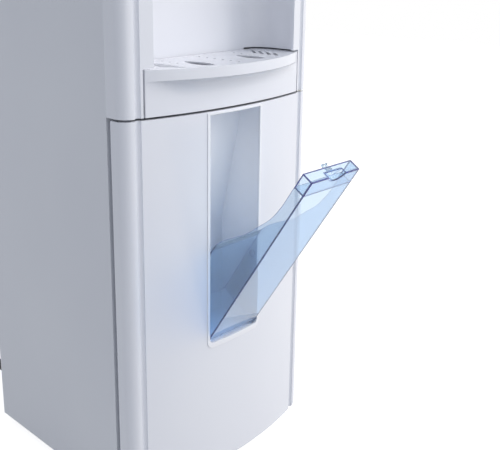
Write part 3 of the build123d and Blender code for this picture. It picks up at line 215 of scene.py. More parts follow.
@dataclass(frozen=True)
class MouldedPlastic(Finish):
    """Injection moulded ABS or polystyrene: a polished or satin mould leaves gloss with a faint waviness."""

    wave_mm: float = 9.0
    wave_depth_mm: float = 0.012
    grain_mm: float = 0.7
    grain_depth_mm: float = 0.004
    gloss_coat: float = 0.0

    def surface(self, tree: bpy.types.NodeTree, place: Socket) -> None:
        """Drifts the colour with the melt's flow and the gloss with the mould's polish.

        Args:
            tree: The material's nodes.
            place: Coordinates in metres.
        """
        flow = self.noise(tree, place, 160, 1)
        polish = self.noise(tree, place, 35, 3)
        wave = self.relief(tree, self.noise(tree, place, self.wave_mm, 1), self.wave_depth_mm)
        grain = add_node(
            tree,
            "ShaderNodeBump",
            {"Distance": self.grain_depth_mm * MM},
            {"Height": self.noise(tree, place, self.grain_mm, 2), "Normal": wave},
        )
        plastic = add_node(
            tree,
            "ShaderNodeBsdfPrincipled",
            {"IOR": 1.52, "Coat Weight": self.gloss_coat, "Coat Roughness": 0.08},
            {
                "Base Color": blend_colours(tree, spread(tree, flow, 0, 1), self.colour, self.shade),
                "Roughness": spread(tree, polish, self.roughness * 0.88, self.roughness * 1.12),
                "Normal": grain.outputs["Normal"],
            },
        )
        self.close(tree, plastic)


@dataclass(frozen=True)
class ClearPlastic(Finish):
    """Tinted SAN moulded clear: pale through one wall, and a deeper blue the longer light runs in it."""

    density: float = 90.0
    tint: str = "#ffffff"
    clearness: float = 1.0

    def surface(self, tree: bpy.types.NodeTree, place: Socket) -> None:
        """Bends light with a faint ripple, soaks it up in the body, and lets the lamps through.

        Args:
            tree: The material's nodes.
            place: Coordinates in metres.
        """
        ripple = self.relief(tree, self.noise(tree, place, 28, 1), 0.02)
        clear = add_node(
            tree,
            "ShaderNodeBsdfPrincipled",
            {
                "Base Color": linear(self.tint),
                "IOR": 1.57,
                "Roughness": self.roughness,
                "Transmission Weight": self.clearness,
            },
            {"Normal": ripple},
        )
        passing = add_node(tree, "ShaderNodeBsdfTransparent", {"Color": linear(self.shade)})
        is_shadow = add_node(tree, "ShaderNodeLightPath").outputs["Is Shadow Ray"]
        mixed = add_node(
            tree, "ShaderNodeMixShader", None, {0: is_shadow, 1: clear.outputs[0], 2: passing.outputs[0]}
        )
        soaked = {"Color": linear(self.colour), "Density": self.density}
        body = add_node(tree, "ShaderNodeVolumeAbsorption", soaked)
        add_node(
            tree, "ShaderNodeOutputMaterial", None, {"Surface": mixed.outputs[0], "Volume": body.outputs[0]}
        )


@dataclass(frozen=True)
class PaintedEdgeGlow(Finish):
    """The edge of a tinted clear wall, painted: a deep blue with a little glow, where the light that the
    wall has gathered leaves.

    The finish is opaque and only stands in for that light. Its low index keeps highlights off the dark line.
    """

    glow: float = 0.25
    index: float = 1.2

    def surface(self, tree: bpy.types.NodeTree, place: Socket) -> None:
        """Paints the edge light as a glow from inside, a little uneven where the edge was trimmed.

        Args:
            tree: The material's nodes.
            place: Coordinates in metres.
        """
        trimmed = spread(tree, self.noise(tree, place, 6, 2), 0, 1)
        colour = blend_colours(tree, trimmed, self.colour, self.shade)
        # Painted edge light: the dark blue and its glow stand in for light, not for the plastic's own
        # colour.
        edge = add_node(
            tree,
            "ShaderNodeBsdfPrincipled",
            {"IOR": self.index, "Roughness": self.roughness, "Emission Strength": self.glow},
            {"Base Color": colour, "Emission Color": colour},
        )
        self.close(tree, edge)


@dataclass(frozen=True)
class PaintedSteel(Finish):
    """Powder coated sheet: baked powder flows into a fine orange peel that breaks up the gloss."""

    peel_mm: float = 2.2
    peel_depth_mm: float = 0.02

    def surface(self, tree: bpy.types.NodeTree, place: Socket) -> None:
        """Lays the peel over a colour that drifts with the film's thickness.

        Args:
            tree: The material's nodes.
            place: Coordinates in metres.
        """
        film = self.noise(tree, place, 220, 2)
        peel = self.noise(tree, place, self.peel_mm, 1)
        paint = add_node(
            tree,
            "ShaderNodeBsdfPrincipled",
            {"IOR": 1.5},
            {
                "Base Color": blend_colours(tree, spread(tree, film, 0, 1), self.colour, self.shade),
                "Roughness": spread(tree, peel, self.roughness * 0.9, self.roughness * 1.1),
                "Normal": self.relief(tree, peel, self.peel_depth_mm),
            },
        )
        self.close(tree, paint)


@dataclass(frozen=True)
class ZincSheet(Finish):
    """Hot-dip galvanised steel: the zinc freezes in spangles, each crystal with its own grey and gloss."""

    spangle_mm: float = 14.0

    def surface(self, tree: bpy.types.NodeTree, place: Socket) -> None:
        """Gives each spangle its own colour and roughness.

        Args:
            tree: The material's nodes.
            place: Coordinates in metres.
        """
        cell = add_node(
            tree, "ShaderNodeTexVoronoi", {"Scale": 1 / (self.spangle_mm * MM)}, {"Vector": place}
        ).outputs["Color"]
        grey = add_node(tree, "ShaderNodeRGBToBW", None, {"Color": cell}).outputs["Val"]
        rolled = self.noise(tree, place, 3, 3)
        zinc = add_node(
            tree,
            "ShaderNodeBsdfPrincipled",
            {"Metallic": 1.0},
            {
                "Base Color": blend_colours(tree, grey, self.colour, self.shade),
                "Roughness": spread(tree, grey, self.roughness, self.roughness * 1.3),
                "Normal": self.relief(tree, rolled, 0.01),
            },
        )
        self.close(tree, zinc)


@dataclass(frozen=True)
class DrawnMetal(Finish):
    """Drawn or plated metal, such as tanks, copper tube or zinc screws: fine marks along the draw."""

    marks_mm: float = 1.2
    stretch: float = 0.08

    def surface(self, tree: bpy.types.NodeTree, place: Socket) -> None:
        """Stretches fine marks along the height, as the die leaves them.

        Args:
            tree: The material's nodes.
            place: Coordinates in metres.
        """
        drawn = add_node(
            tree, "ShaderNodeMapping", {"Scale": (1.0, 1.0, self.stretch)}, {"Vector": place}
        ).outputs["Vector"]
        marks = self.noise(tree, drawn, self.marks_mm, 3)
        tarnish = self.noise(tree, place, 30, 3)
        metal = add_node(
            tree,
            "ShaderNodeBsdfPrincipled",
            {"Metallic": 1.0},
            {
                "Base Color": blend_colours(tree, spread(tree, tarnish, 0, 1), self.colour, self.shade),
                "Roughness": spread(tree, marks, self.roughness * 0.85, self.roughness * 1.25),
                "Normal": self.relief(tree, marks, 0.006),
            },
        )
        self.close(tree, metal)


@dataclass(frozen=True)
class Rubber(Finish):
    """Moulded rubber or soft vinyl: dull, with dust in a fine grain."""

    grain_mm: float = 0.6

    def surface(self, tree: bpy.types.NodeTree, place: Socket) -> None:
        """Adds the grain and a pale bloom in patches.

        Args:
            tree: The material's nodes.
            place: Coordinates in metres.
        """
        grain = self.noise(tree, place, self.grain_mm, 2)
        bloom = self.noise(tree, place, 12, 3)
        rubber = add_node(
            tree,
            "ShaderNodeBsdfPrincipled",
            {"IOR": 1.5, "Sheen Weight": 0.15, "Sheen Roughness": 0.4},
            {
                "Base Color": blend_colours(tree, spread(tree, bloom, 0, 1), self.colour, self.shade),
                "Roughness": spread(tree, grain, self.roughness * 0.9, min(1.0, self.roughness * 1.1)),
                "Normal": self.relief(tree, grain, 0.03),
            },
        )
        self.close(tree, rubber)


@dataclass(frozen=True)
class BeadFoam(Finish):
    """Expanded polystyrene or cell foam: fused beads with a groove round each one."""

    bead_mm: float = 3.5

    def surface(self, tree: bpy.types.NodeTree, place: Socket) -> None:
        """Rounds each bead and paints shade into the grooves between them.

        Args:
            tree: The material's nodes.
            place: Coordinates in metres.
        """
        bead = add_node(
            tree, "ShaderNodeTexVoronoi", {"Scale": 1 / (self.bead_mm * MM)}, {"Vector": place}
        ).outputs["Distance"]
        # Painted shade: the colour runs to the darker second colour away from each bead's middle, into the
        # grooves.
        foam = add_node(
            tree,
            "ShaderNodeBsdfPrincipled",
            {"IOR": 1.4},
            {
                "Base Color": blend_colours(tree, bead, self.colour, self.shade),
                "Roughness": spread(tree, bead, self.roughness * 0.9, self.roughness),
                "Normal": self.relief(tree, bead, -0.4),
            },
        )
        self.close(tree, foam)


@dataclass(frozen=True)
class LampLens(Finish):
    """A tinted acrylic lamp lens: clear colour over a pale light behind."""

    glow: float = 0.35

    def surface(self, tree: bpy.types.NodeTree, place: Socket) -> None:
        """Glows a little more where the lens is thicker.

        Args:
            tree: The material's nodes.
            place: Coordinates in metres.
        """
        depth = spread(tree, self.noise(tree, place, 3, 1), 0, 1)
        colour = blend_colours(tree, depth, self.colour, self.shade)
        lens = add_node(
            tree,
            "ShaderNodeBsdfPrincipled",
            {"IOR": 1.49, "Roughness": self.roughness, "Coat Weight": 0.6, "Emission Strength": self.glow},
            {"Base Color": colour, "Emission Color": colour},
        )
        self.close(tree, lens)


# The shell is gloss white ABS with a cool cast. The eye sees soft wide highlights and a faint waviness.
SHELL = MouldedPlastic("gloss_white_abs", "#e9ebf1", "#e6e8ef", 0.24, gloss_coat=0.25)
# Liners come from a satin mould, so their highlights are wider and duller.
LINER = MouldedPlastic("satin_white_polystyrene", "#e6e8ee", "#e2e4eb", 0.38, grain_depth_mm=0.008)
# The trim is the same ABS from a mirror polished mould.
TRIM = MouldedPlastic("polished_white_abs", "#f2f3f7", "#eef0f5", 0.14, gloss_coat=0.5)
# The pocket is satin ABS coloured through, a quiet blue-grey that reads as a shadow.
POCKET = MouldedPlastic("satin_blue_grey_abs", "#f7f9fd", "#f2f5fb", 0.42, grain_depth_mm=0.01)
PANEL = MouldedPlastic("satin_light_grey_abs", "#ccd1d9", "#c6cbd4", 0.4, grain_depth_mm=0.012)
KEY_RED = MouldedPlastic("gloss_red_abs", "#c8453c", "#bd3d36", 0.25, gloss_coat=0.3)
KEY_WHITE = MouldedPlastic("gloss_pale_abs", "#e4e6ea", "#dee1e6", 0.25, gloss_coat=0.3)
KEY_BLUE = MouldedPlastic("gloss_blue_abs", "#3a6cbe", "#3463b3", 0.25, gloss_coat=0.3)
BLACK_PLASTIC = MouldedPlastic("black_nylon", "#17181a", "#1f2022", 0.45, grain_depth_mm=0.02)
NATURAL = MouldedPlastic("natural_polypropylene", "#e2e5e8", "#d9dde1", 0.33)
ACETAL = MouldedPlastic("white_acetal", "#ecebe6", "#e6e5df", 0.3)
BOARD = MouldedPlastic("green_glass_epoxy", "#1d5a35", "#174a2b", 0.35, wave_mm=2.5, wave_depth_mm=0.03)
# The bin is clear SAN with a blue tint. The eye sees through its front, dimmed and bluer towards the bottom.
CLEAR_BLUE = ClearPlastic(
    "clear_blue_san", "#34b6f4", "#f2f7fd", 0.02, density=66, tint="#e4f0f9", clearness=0.88
)
CLIP_BLUE = ClearPlastic("clear_blue_clip", "#4cc0ee", "#eaf3fb", 0.05, density=110)
# Painted edge light: a deep blue that glows a little stands in for the light that a clear wall lets out
# by its edges, where the eye sees a thin dark blue line.
PAINTED_EDGE_LIGHT = PaintedEdgeGlow("painted_blue_edge_light", "#0b1c8c", "#0a1878", 0.25)
PAINTED = PaintedSteel("white_powder_coat", "#e5e7ec", "#e1e3e9", 0.34)
BLACK_ENAMEL = PaintedSteel("black_stove_enamel", "#121315", "#1a1b1e", 0.3, peel_mm=1.0, peel_depth_mm=0.01)
GALVANISED = ZincSheet("galvanised_sheet", "#a4a8ab", "#b9bcbe", 0.36)
STAINLESS = DrawnMetal("drawn_stainless", "#c6c5c2", "#b5b4b1", 0.28)
COPPER = DrawnMetal("drawn_copper", "#c98a68", "#a86a4b", 0.3)
ZINC_PLATE = DrawnMetal("bright_zinc_plate", "#c4c3bd", "#aeada6", 0.3, stretch=1.0)
BLACK_RUBBER = Rubber("black_rubber", "#1b1b1c", "#27272a", 0.72)
VINYL = Rubber("grey_soft_vinyl", "#c9cbce", "#c0c3c7", 0.5)
SILICONE = Rubber("milky_silicone", "#dde2e5", "#cfd6da", 0.42)
# The foams' second colours are painted shade for the grooves between the beads.
FOAM = BeadFoam("white_bead_foam", "#efefec", "#cfcfcb", 0.8)
GREY_FOAM = BeadFoam("grey_cell_foam", "#4a4c50", "#2c2e31", 0.9, bead_mm=1.5)
LENS_RED = LampLens("red_lamp_lens", "#d8473c", "#e8685c", 0.12)
LENS_AMBER = LampLens("amber_lamp_lens", "#e09a3a", "#eab25e", 0.12)
LENS_BLUE = LampLens("blue_lamp_lens", "#3f7ad0", "#6a9be2", 0.12)

FINISH_OF_SLOT: dict[str, Finish] = {
    "white_abs": SHELL,
    "liner_plastic": LINER,
    "pocket_plastic": POCKET,
    "clear_blue": CLEAR_BLUE,
    "clip_blue": CLIP_BLUE,
    "bezel_white": TRIM,
    "painted_steel": PAINTED,
    "galvanised": GALVANISED,
    "stainless": STAINLESS,
    "black_enamel": BLACK_ENAMEL,
    "copper": COPPER,
    "rubber_black": BLACK_RUBBER,
    "gasket_grey": VINYL,
    "foam": FOAM,
    "foam_grey": GREY_FOAM,
    "silicone": SILICONE,
    "panel_grey": PANEL,
    "key_red": KEY_RED,
    "key_white": KEY_WHITE,
    "key_blue": KEY_BLUE,
    "lens": LENS_AMBER,
    "board_green": BOARD,
    "black_plastic": BLACK_PLASTIC,
    "probe_plastic": NATURAL,
    "zinc": ZINC_PLATE,
    "acetal": ACETAL,
}


# ---------------------------------------------------------------- frame nodes


class Edge(Enum):
    """How far a node's sharp edges are rounded, in millimetres."""

    SHARP = 0.0
    FINE = 0.35
    MOULDED = 0.8
    SOFT = 1.6


def round_edges(made: bpy.types.Object, edge: Edge) -> None:
    """Adds a bevel to an object's sharp edges.

    Args:
        made: The object.
        edge: How far its edges are rounded.
    """
    bevel = made.modifiers.new("round", "BEVEL")
    bevel.width = edge.value * MM
    bevel.segments = 2
    bevel.limit_method = "ANGLE"
    bevel.angle_limit = SHARP_ANGLE


@dataclass
class FrameDressing:
    """The frame's own nodes, with their edges softened and their finishes on."""

    edges: dict[str, Edge] = field(
        default_factory=lambda: {
            "upper_fascia": Edge.MOULDED,
            "door_panel": Edge.MOULDED,
            "top_cover": Edge.SOFT,
            "drip_tray": Edge.SOFT,
            "drip_grille": Edge.FINE,
            "window_bezel": Edge.MOULDED,
            "alcove_liner": Edge.MOULDED,
            "tilt_bin": Edge.MOULDED,
            "bin_latch_clip": Edge.FINE,
            "bin_pocket": Edge.FINE,
            "bin_catch": Edge.FINE,
            "control_panel": Edge.MOULDED,
            "left_side_panel": Edge.FINE,
            "right_side_panel": Edge.FINE,
            "rear_panel": Edge.FINE,
            "bottle_shelf": Edge.MOULDED,
            "bay_liner": Edge.MOULDED,
            "door_liner": Edge.MOULDED,
            "base_pan": Edge.MOULDED,
            "nozzles": Edge.MOULDED,
            "switch_bezel": Edge.FINE,
            "hot_rocker": Edge.MOULDED,
            "cold_rocker": Edge.MOULDED,
            "child_lock": Edge.FINE,
            "probe_hook": Edge.FINE,
            "wall_spacers": Edge.MOULDED,
            "cord_gland": Edge.FINE,
            "hinge_brackets": Edge.FINE,
        }
    )
    weld_distance: float = 2e-6
    flat_angle: float = math.radians(0.25)
    large_face_weight: int = 80

    def dress(self) -> None:
        """Gives each node its finish and its softened edges."""
        for row in frame["record"]["subparts"]:
            node = frame["nodes"][row["node"]]
            finish = FINISH_OF_SLOT[row["material_slot"]]
            node.data.materials.clear()
            node.data.materials.append(finish.material())
            self.soften(node, self.edges.get(row["node"], Edge.SHARP))
            if row["node"] == "tilt_bin":
                # The faces that the bevel adds take the second material, the painted deep blue edge light.
                node.data.materials.append(PAINTED_EDGE_LIGHT.material())
                node.modifiers["round"].material = 1
            LOG.info("%s in %s", row["node"], finish.name)

    def soften(self, node: bpy.types.Object, edge: Edge) -> None:
        """Joins a node's faces and rounds its sharp edges.

        The frame's meshes are triangles. Those that lie flat beside each other are joined first, since a
        bevel stops at the first triangle it meets and would round almost nothing.

        Args:
            node: The node's object.
            edge: How far its edges are rounded.
        """
        if edge is Edge.SHARP:
            return
        weld = node.modifiers.new("weld", "WELD")
        weld.merge_threshold = self.weld_distance
        flat = node.modifiers.new("flat", "DECIMATE")
        flat.decimate_type = "DISSOLVE"
        flat.angle_limit = self.flat_angle
        round_edges(node, edge)
        normals = node.modifiers.new("normals", "WEIGHTED_NORMAL")
        normals.keep_sharp = False
        normals.weight = self.large_face_weight


# ---------------------------------------------------------------- pieces


@dataclass
class Piece:
    """A mesh piece of one finish that rides on one of the frame's bodies."""

    name: str
    body: str
    finish: Finish
    slot: str
    stands_for: tuple[str, ...] = ()
    edge: Edge = Edge.SHARP
    mesh: bmesh.types.BMesh = field(default_factory=bmesh.new)

    def turned(
        self,
        profile: list[tuple[float, float]],
        place: Point,
        axis: Point,
        steps: int = 48,
        flutes: int = 0,
        flute_mm: float = 0.0,
    ) -> None:
        """Turns a profile round an axis and closes it with flat ends.

        Args:
            profile: Radius and height pairs in millimetres, along the axis.
            place: The axis's start, in millimetres.
            axis: The way that the axis points.
            steps: Sides of the turned shape.
            flutes: Grooves round the widest part.
            flute_mm: Their depth.
        """
        turn = Vector(axis).to_track_quat("Z", "Y")
        widest = max(radius for radius, _ in profile)
        rings = []
        for radius, height in profile:
            ring = []
            for step in range(steps):
                angle = math.tau * step / steps
                cut = flute_mm * (0.5 + 0.5 * math.cos(flutes * angle)) if radius == widest else 0.0
                spot = Vector(((radius - cut) * math.cos(angle), (radius - cut) * math.sin(angle), height))
                ring.append(self.mesh.verts.new((Vector(place) + turn @ spot) * MM))
            rings.append(ring)
        for low, high in zip(rings, rings[1:]):
            for step in range(steps):
                after = (step + 1) % steps
                self.mesh.faces.new((low[step], low[after], high[after], high[step]))
        self.mesh.faces.new(rings[0][::-1])
        self.mesh.faces.new(rings[-1])

    def ring(self, radius: float, section: list[tuple[float, float]], place: Point, steps: int = 96) -> None:
        """Turns a closed section round an upright axis.

        Args:
            radius: The circle that the section follows, in millimetres.
            section: Its corners, as distance out of that circle and height.
            place: The circle's centre.
            steps: Sides of the turned shape.
        """
        rings = []
        for step in range(steps):
            angle = math.tau * step / steps
            spots = [((radius + r) * math.cos(angle), (radius + r) * math.sin(angle), h) for r, h in section]
            rings.append([self.mesh.verts.new((Vector(place) + Vector(spot)) * MM) for spot in spots])
        self.skin(rings)

    def skin(self, rings: list[list[bmesh.types.BMVert]]) -> None:
        """Joins closed sections into a closed loop.

        Args:
            rings: The corners of each section, in order round the loop.
        """
        for low, high in zip(rings, rings[1:] + rings[:1]):
            for first, second, third, fourth in zip(low, low[1:] + low[:1], high[1:] + high[:1], high):
                self.mesh.faces.new((first, second, third, fourth))

    def plate(
        self, outline: list[tuple[float, float]], place: Point, along: Point, up: Point, depth: float
    ) -> None:
        """Extrudes an outline.

        Args:
            outline: Its corners along two directions, in millimetres.
            place: Where the outline's origin lies.
            along: The outline's first direction.
            up: Its second direction.
            depth: How far it goes along the cross product of the two.
        """
        through = Vector(along).cross(Vector(up)) * depth
        flat = [Vector(place) + Vector(along) * u + Vector(up) * v for u, v in outline]
        low = [self.mesh.verts.new(spot * MM) for spot in flat]
        high = [self.mesh.verts.new((spot + through) * MM) for spot in flat]
        self.mesh.faces.new(low[::-1])
        self.mesh.faces.new(high)
        for first, second, third, fourth in zip(low, low[1:] + low[:1], high[1:] + high[:1], high):
            self.mesh.faces.new((first, second, third, fourth))

    def finished(self, cutter: "Piece | None" = None) -> bpy.types.Object:
        """Makes the object, carves it, rounds its edges, hangs it on its body and hides the nodes that it
        stands for.

        Args:
            cutter: A piece whose shape is cut out of this one.

        Returns:
            The new object.
        """
        made = self.thing()
        if cutter is not None:
            tool = cutter.thing()
            carve = made.modifiers.new("carve", "BOOLEAN")
            carve.operation = "DIFFERENCE"
            carve.object = tool
            carve.solver = "EXACT"
            depsgraph = bpy.context.evaluated_depsgraph_get()
            carved = bpy.data.meshes.new_from_object(made.evaluated_get(depsgraph))
            made.modifiers.clear()
            made.data = carved
            bpy.data.objects.remove(tool)
        if self.edge is not Edge.SHARP:
            round_edges(made, self.edge)
        normals = made.modifiers.new("normals", "WEIGHTED_NORMAL")
        normals.keep_sharp = False
        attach(made, self.body)
        if self.stands_for:
            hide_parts(*self.stands_for)
        LOG.info("%s in %s", self.name, self.finish.name)
        return made

    def thing(self) -> bpy.types.Object:
        """Turns the mesh into a smooth object with its material.

        Returns:
            The new object.
        """
        bmesh.ops.recalc_face_normals(self.mesh, faces=self.mesh.faces)
        data = bpy.data.meshes.new(self.name)
        self.mesh.to_mesh(data)
        self.mesh.free()
        data.polygons.foreach_set("use_smooth", [True] * len(data.polygons))
        data.materials.append(self.finish.material())
        made = bpy.data.objects.new(self.name, data)
        bpy.context.scene.collection.objects.link(made)
        return made


def low_corner(node: str) -> Vector:
    """A frame node's lowest corner at rest, in millimetres."""
    return Vector(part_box(node)[0]) / MM


def high_corner(node: str) -> Vector:
    """A frame node's highest corner at rest, in millimetres."""
    return Vector(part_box(node)[1]) / MM


def drop_outline(width: float, height: float, points: int = 40) -> list[tuple[float, float]]:
    """A water drop's outline, with its tip up, in millimetres."""
    angles = [math.tau * i / points for i in range(points)]
    return [(width * 0.65 * math.sin(a) * math.sin(a / 2) ** 1.5, height / 2 * math.cos(a)) for a in angles]


@dataclass
class FrontDetails:
    """The control panel's lamps and key marks, and the coloured rings round the nozzles."""

    lamp_pitch: float = 25.0
    lamp_sink: float = 6.8
    bow_radius: float = 640.0
    drop_size: tuple[float, float] = (7.5, 10.5)
    film: float = 0.2
    nozzle_pitch: float = 50.0
    ring_radius: float = 10.4
    ceiling_drop: float = 138.0

    def build(self) -> None:
        """Makes the pieces from left to right."""
        self.lamps()
        self.key_marks()
        self.nozzle_rings()

    def lamps(self) -> None:
        """Replaces the plain lenses with domed ones, each with the colour of its job."""
        apex = low_corner("upper_fascia").y
        lens_z = (low_corner("indicator_lenses").z + high_corner("indicator_lenses").z) / 2
        dome = [(2.9, 0.0), (2.9, 7.4), (2.75, 7.9), (2.2, 8.35), (1.3, 8.65), (0.4, 8.75)]
        for step, (name, finish) in enumerate(
            (("heating_lamp", LENS_RED), ("power_lamp", LENS_AMBER), ("cooling_lamp", LENS_BLUE)), -1
        ):
            x = step * self.lamp_pitch
            bow = apex + self.bow_radius - math.sqrt(self.bow_radius**2 - x**2)
            lamp = Piece(name, "cabinet", finish, "lens", ("indicator_lenses",))
            lamp.turned(dome, (x, bow + self.lamp_sink, lens_z), (0, -1, 0), 32)
            lamp.finished()

    def key_marks(self) -> None:
        """Pad prints a drop on each key: a thin film that stands on the gloss face."""
        for key, body, finish, slot in (
            ("hot_button", "hot_key", KEY_WHITE, "key_white"),
            ("room_button", "room_key", PANEL, "panel_grey"),
            ("cold_button", "cold_key", KEY_WHITE, "key_white"),
        ):
            low, high = low_corner(key), high_corner(key)
            mark = Piece(f"{key}_mark", body, finish, slot)
            place = ((low.x + high.x) / 2, low.y + self.film / 2, (low.z + high.z) / 2)
            mark.plate(drop_outline(*self.drop_size), place, (1, 0, 0), (0, 0, 1), self.film)
            mark.finished()

    def nozzle_rings(self) -> None:
        """Sets a coloured ring round each nozzle, under the alcove's ceiling."""
        low, high = low_corner("nozzles"), high_corner("nozzles")
        ceiling = high_corner("upper_fascia").z - self.ceiling_drop
        section = [(-0.9, 0.0), (1.3, 0.0), (1.6, -0.5), (1.3, -1.4), (0.4, -1.7), (-0.9, -1.5)]
        for step, (name, finish, slot) in enumerate(
            (
                ("hot_nozzle_ring", KEY_RED, "key_red"),
                ("room_nozzle_ring", KEY_WHITE, "key_white"),
                ("cold_nozzle_ring", KEY_BLUE, "key_blue"),
            ),
            -1,
        ):
            ring = Piece(name, "cabinet", finish, slot)
            place = (step * self.nozzle_pitch, (low.y + high.y) / 2, ceiling)
            ring.ring(self.ring_radius, section, place, 64)
            ring.finished()


@dataclass
class BayDetails:
    """The door's bellows seal, the ribs that the bottle stands on, and the dip tube's fluted cap."""

    bottle_y: float = 104.44
    rib_radii: tuple[float, ...] = (60.0, 92.0, 124.0)
    seat_sink: float = 2.0

    def build(self) -> None:
        """Makes the pieces from the door inwards."""
        self.seal()
        self.seat_ribs()
        self.probe_cap()

    def seal(self) -> None:
        """Replaces the plain seal with a hollow vinyl one with pleats."""
        low, high = low_corner("door_gasket"), high_corner("door_gasket")
        section = [
            (0.5, 0.0), (10.5, 0.0), (10.5, 1.4), (8.6, 2.1), (9.4, 3.2), (8.2, 4.2), (10.2, 5.2),
            (10.7, 6.6), (9.9, 7.6), (1.1, 7.6), (0.3, 6.6), (0.8, 5.2), (2.8, 4.2), (1.6, 3.2),
            (2.4, 2.1), (0.5, 1.4),
        ]
        seal = Piece("bellows_seal", "door", VINYL, "gasket_grey", ("door_gasket",))
        rings = []
        for x, inward_x, z, inward_z in (
            (low.x, 1, low.z, 1),
            (high.x, -1, low.z, 1),
            (high.x, -1, high.z, -1),
            (low.x, 1, high.z, -1),
        ):
            spots = [Vector((x + inward_x * u, low.y + v, z + inward_z * u)) for u, v in section]
            rings.append([seal.mesh.verts.new(spot * MM) for spot in spots])
        seal.skin(rings)
        seal.finished()

    def seat_ribs(self) -> None:
        """Adds the three round ribs that lift the bottle off its seat."""
        seat_z = high_corner("bottle_shelf").z - self.seat_sink
        section = [(-1.6, -0.2), (1.6, -0.2), (1.2, 0.6), (0.6, 1.0), (-0.6, 1.0), (-1.2, 0.6)]
        ribs = Piece("bottle_seat_ribs", "cabinet", LINER, "liner_plastic")
        for radius in self.rib_radii:
            ribs.ring(radius, section, (0.0, self.bottle_y, seat_z))
        ribs.finished()

    def probe_cap(self) -> None:
        """Replaces the dip tube's plain collar with a cap that has a fluted grip."""
        low, high = low_corner("probe_collar"), high_corner("probe_collar")
        cap = Piece("dip_tube_cap", "cabinet", NATURAL, "probe_plastic", ("probe_collar",))
        profile = [
            (20.5, 0.0), (22.0, 0.6), (23.0, 2.0), (23.0, 13.6), (22.2, 15.2), (21.0, 16.0), (10.4, 16.0),
            (9.4, 16.6), (9.0, 17.6), (9.0, 26.0),
        ]
        place = ((low.x + high.x) / 2, (low.y + high.y) / 2, low.z)
        cap.turned(profile, place, (0, 0, 1), 144, 24, 0.9)
        cap.finished()


@dataclass
class BinPaintedEdgeLight:
    """Painted edge light: deep blue lines along the edges of the bin's top box, in the open bin's own
    directions.

    The real bin has no such bars. They stand in for the light that its walls gather and let out there.
    """

    pivot: tuple[float, float] = (-104.06, 240.8)
    tilt: float = math.radians(32.9)
    roll: float = 8.0
    half_width: float = 48.5
    length: float = 328.1
    box_height: float = 24.6
    box_depth: float = 17.4
    scoop: tuple[float, float] = (-14.5, 21.5)
    line: float = 1.3
    inset: float = 0.3

    def build(self) -> None:
        """Lays a painted line of edge light in each edge, a little inside the wall."""
        lines = Piece("bin_painted_edge_lines", "bin", PAINTED_EDGE_LIGHT, "clear_blue")
        front, wide = self.inset, self.line
        side, back, top = self.half_width - self.inset, self.box_depth - self.inset, self.length - self.inset
        low = self.length - self.box_height
        for edge_x in (-side, side - wide):
            self.bar(lines, (edge_x, back - wide, low), (edge_x + wide, back, top))
            self.bar(lines, (edge_x, front, low), (edge_x + wide, front + wide, top))
            self.bar(lines, (edge_x, front, top - wide), (edge_x + wide, back, top))
        self.bar(lines, (-side, back - wide, top - wide), (side, back, top))
        self.bar(lines, (-side, front, top - wide), (self.scoop[0], front + wide, top))
        self.bar(lines, (self.scoop[1], front, top - wide), (side, front + wide, top))
        lines.finished()

    def bar(self, piece: Piece, low: Point, high: Point) -> None:
        """Adds a slim bar between two corners, each given across, in depth and along the bin.

        Args:
            piece: The piece that gets the bar.
            low: The bar's lowest corner, in millimetres.
            high: Its highest corner.
        """
        deep = Vector((0.0, math.cos(self.tilt), math.sin(self.tilt)))
        along = Vector((0.0, -math.sin(self.tilt), math.cos(self.tilt)))
        corner = Vector((0.0, *self.pivot)) - (deep + along) * self.roll
        start = corner + Vector((low[0], 0.0, 0.0)) + deep * low[1] + along * low[2]
        width, depth, length = (high[i] - low[i] for i in range(3))
        outline = [(0.0, 0.0), (width, 0.0), (width, depth), (0.0, depth)]
        piece.plate(outline, start, (1.0, 0.0, 0.0), deep, length)


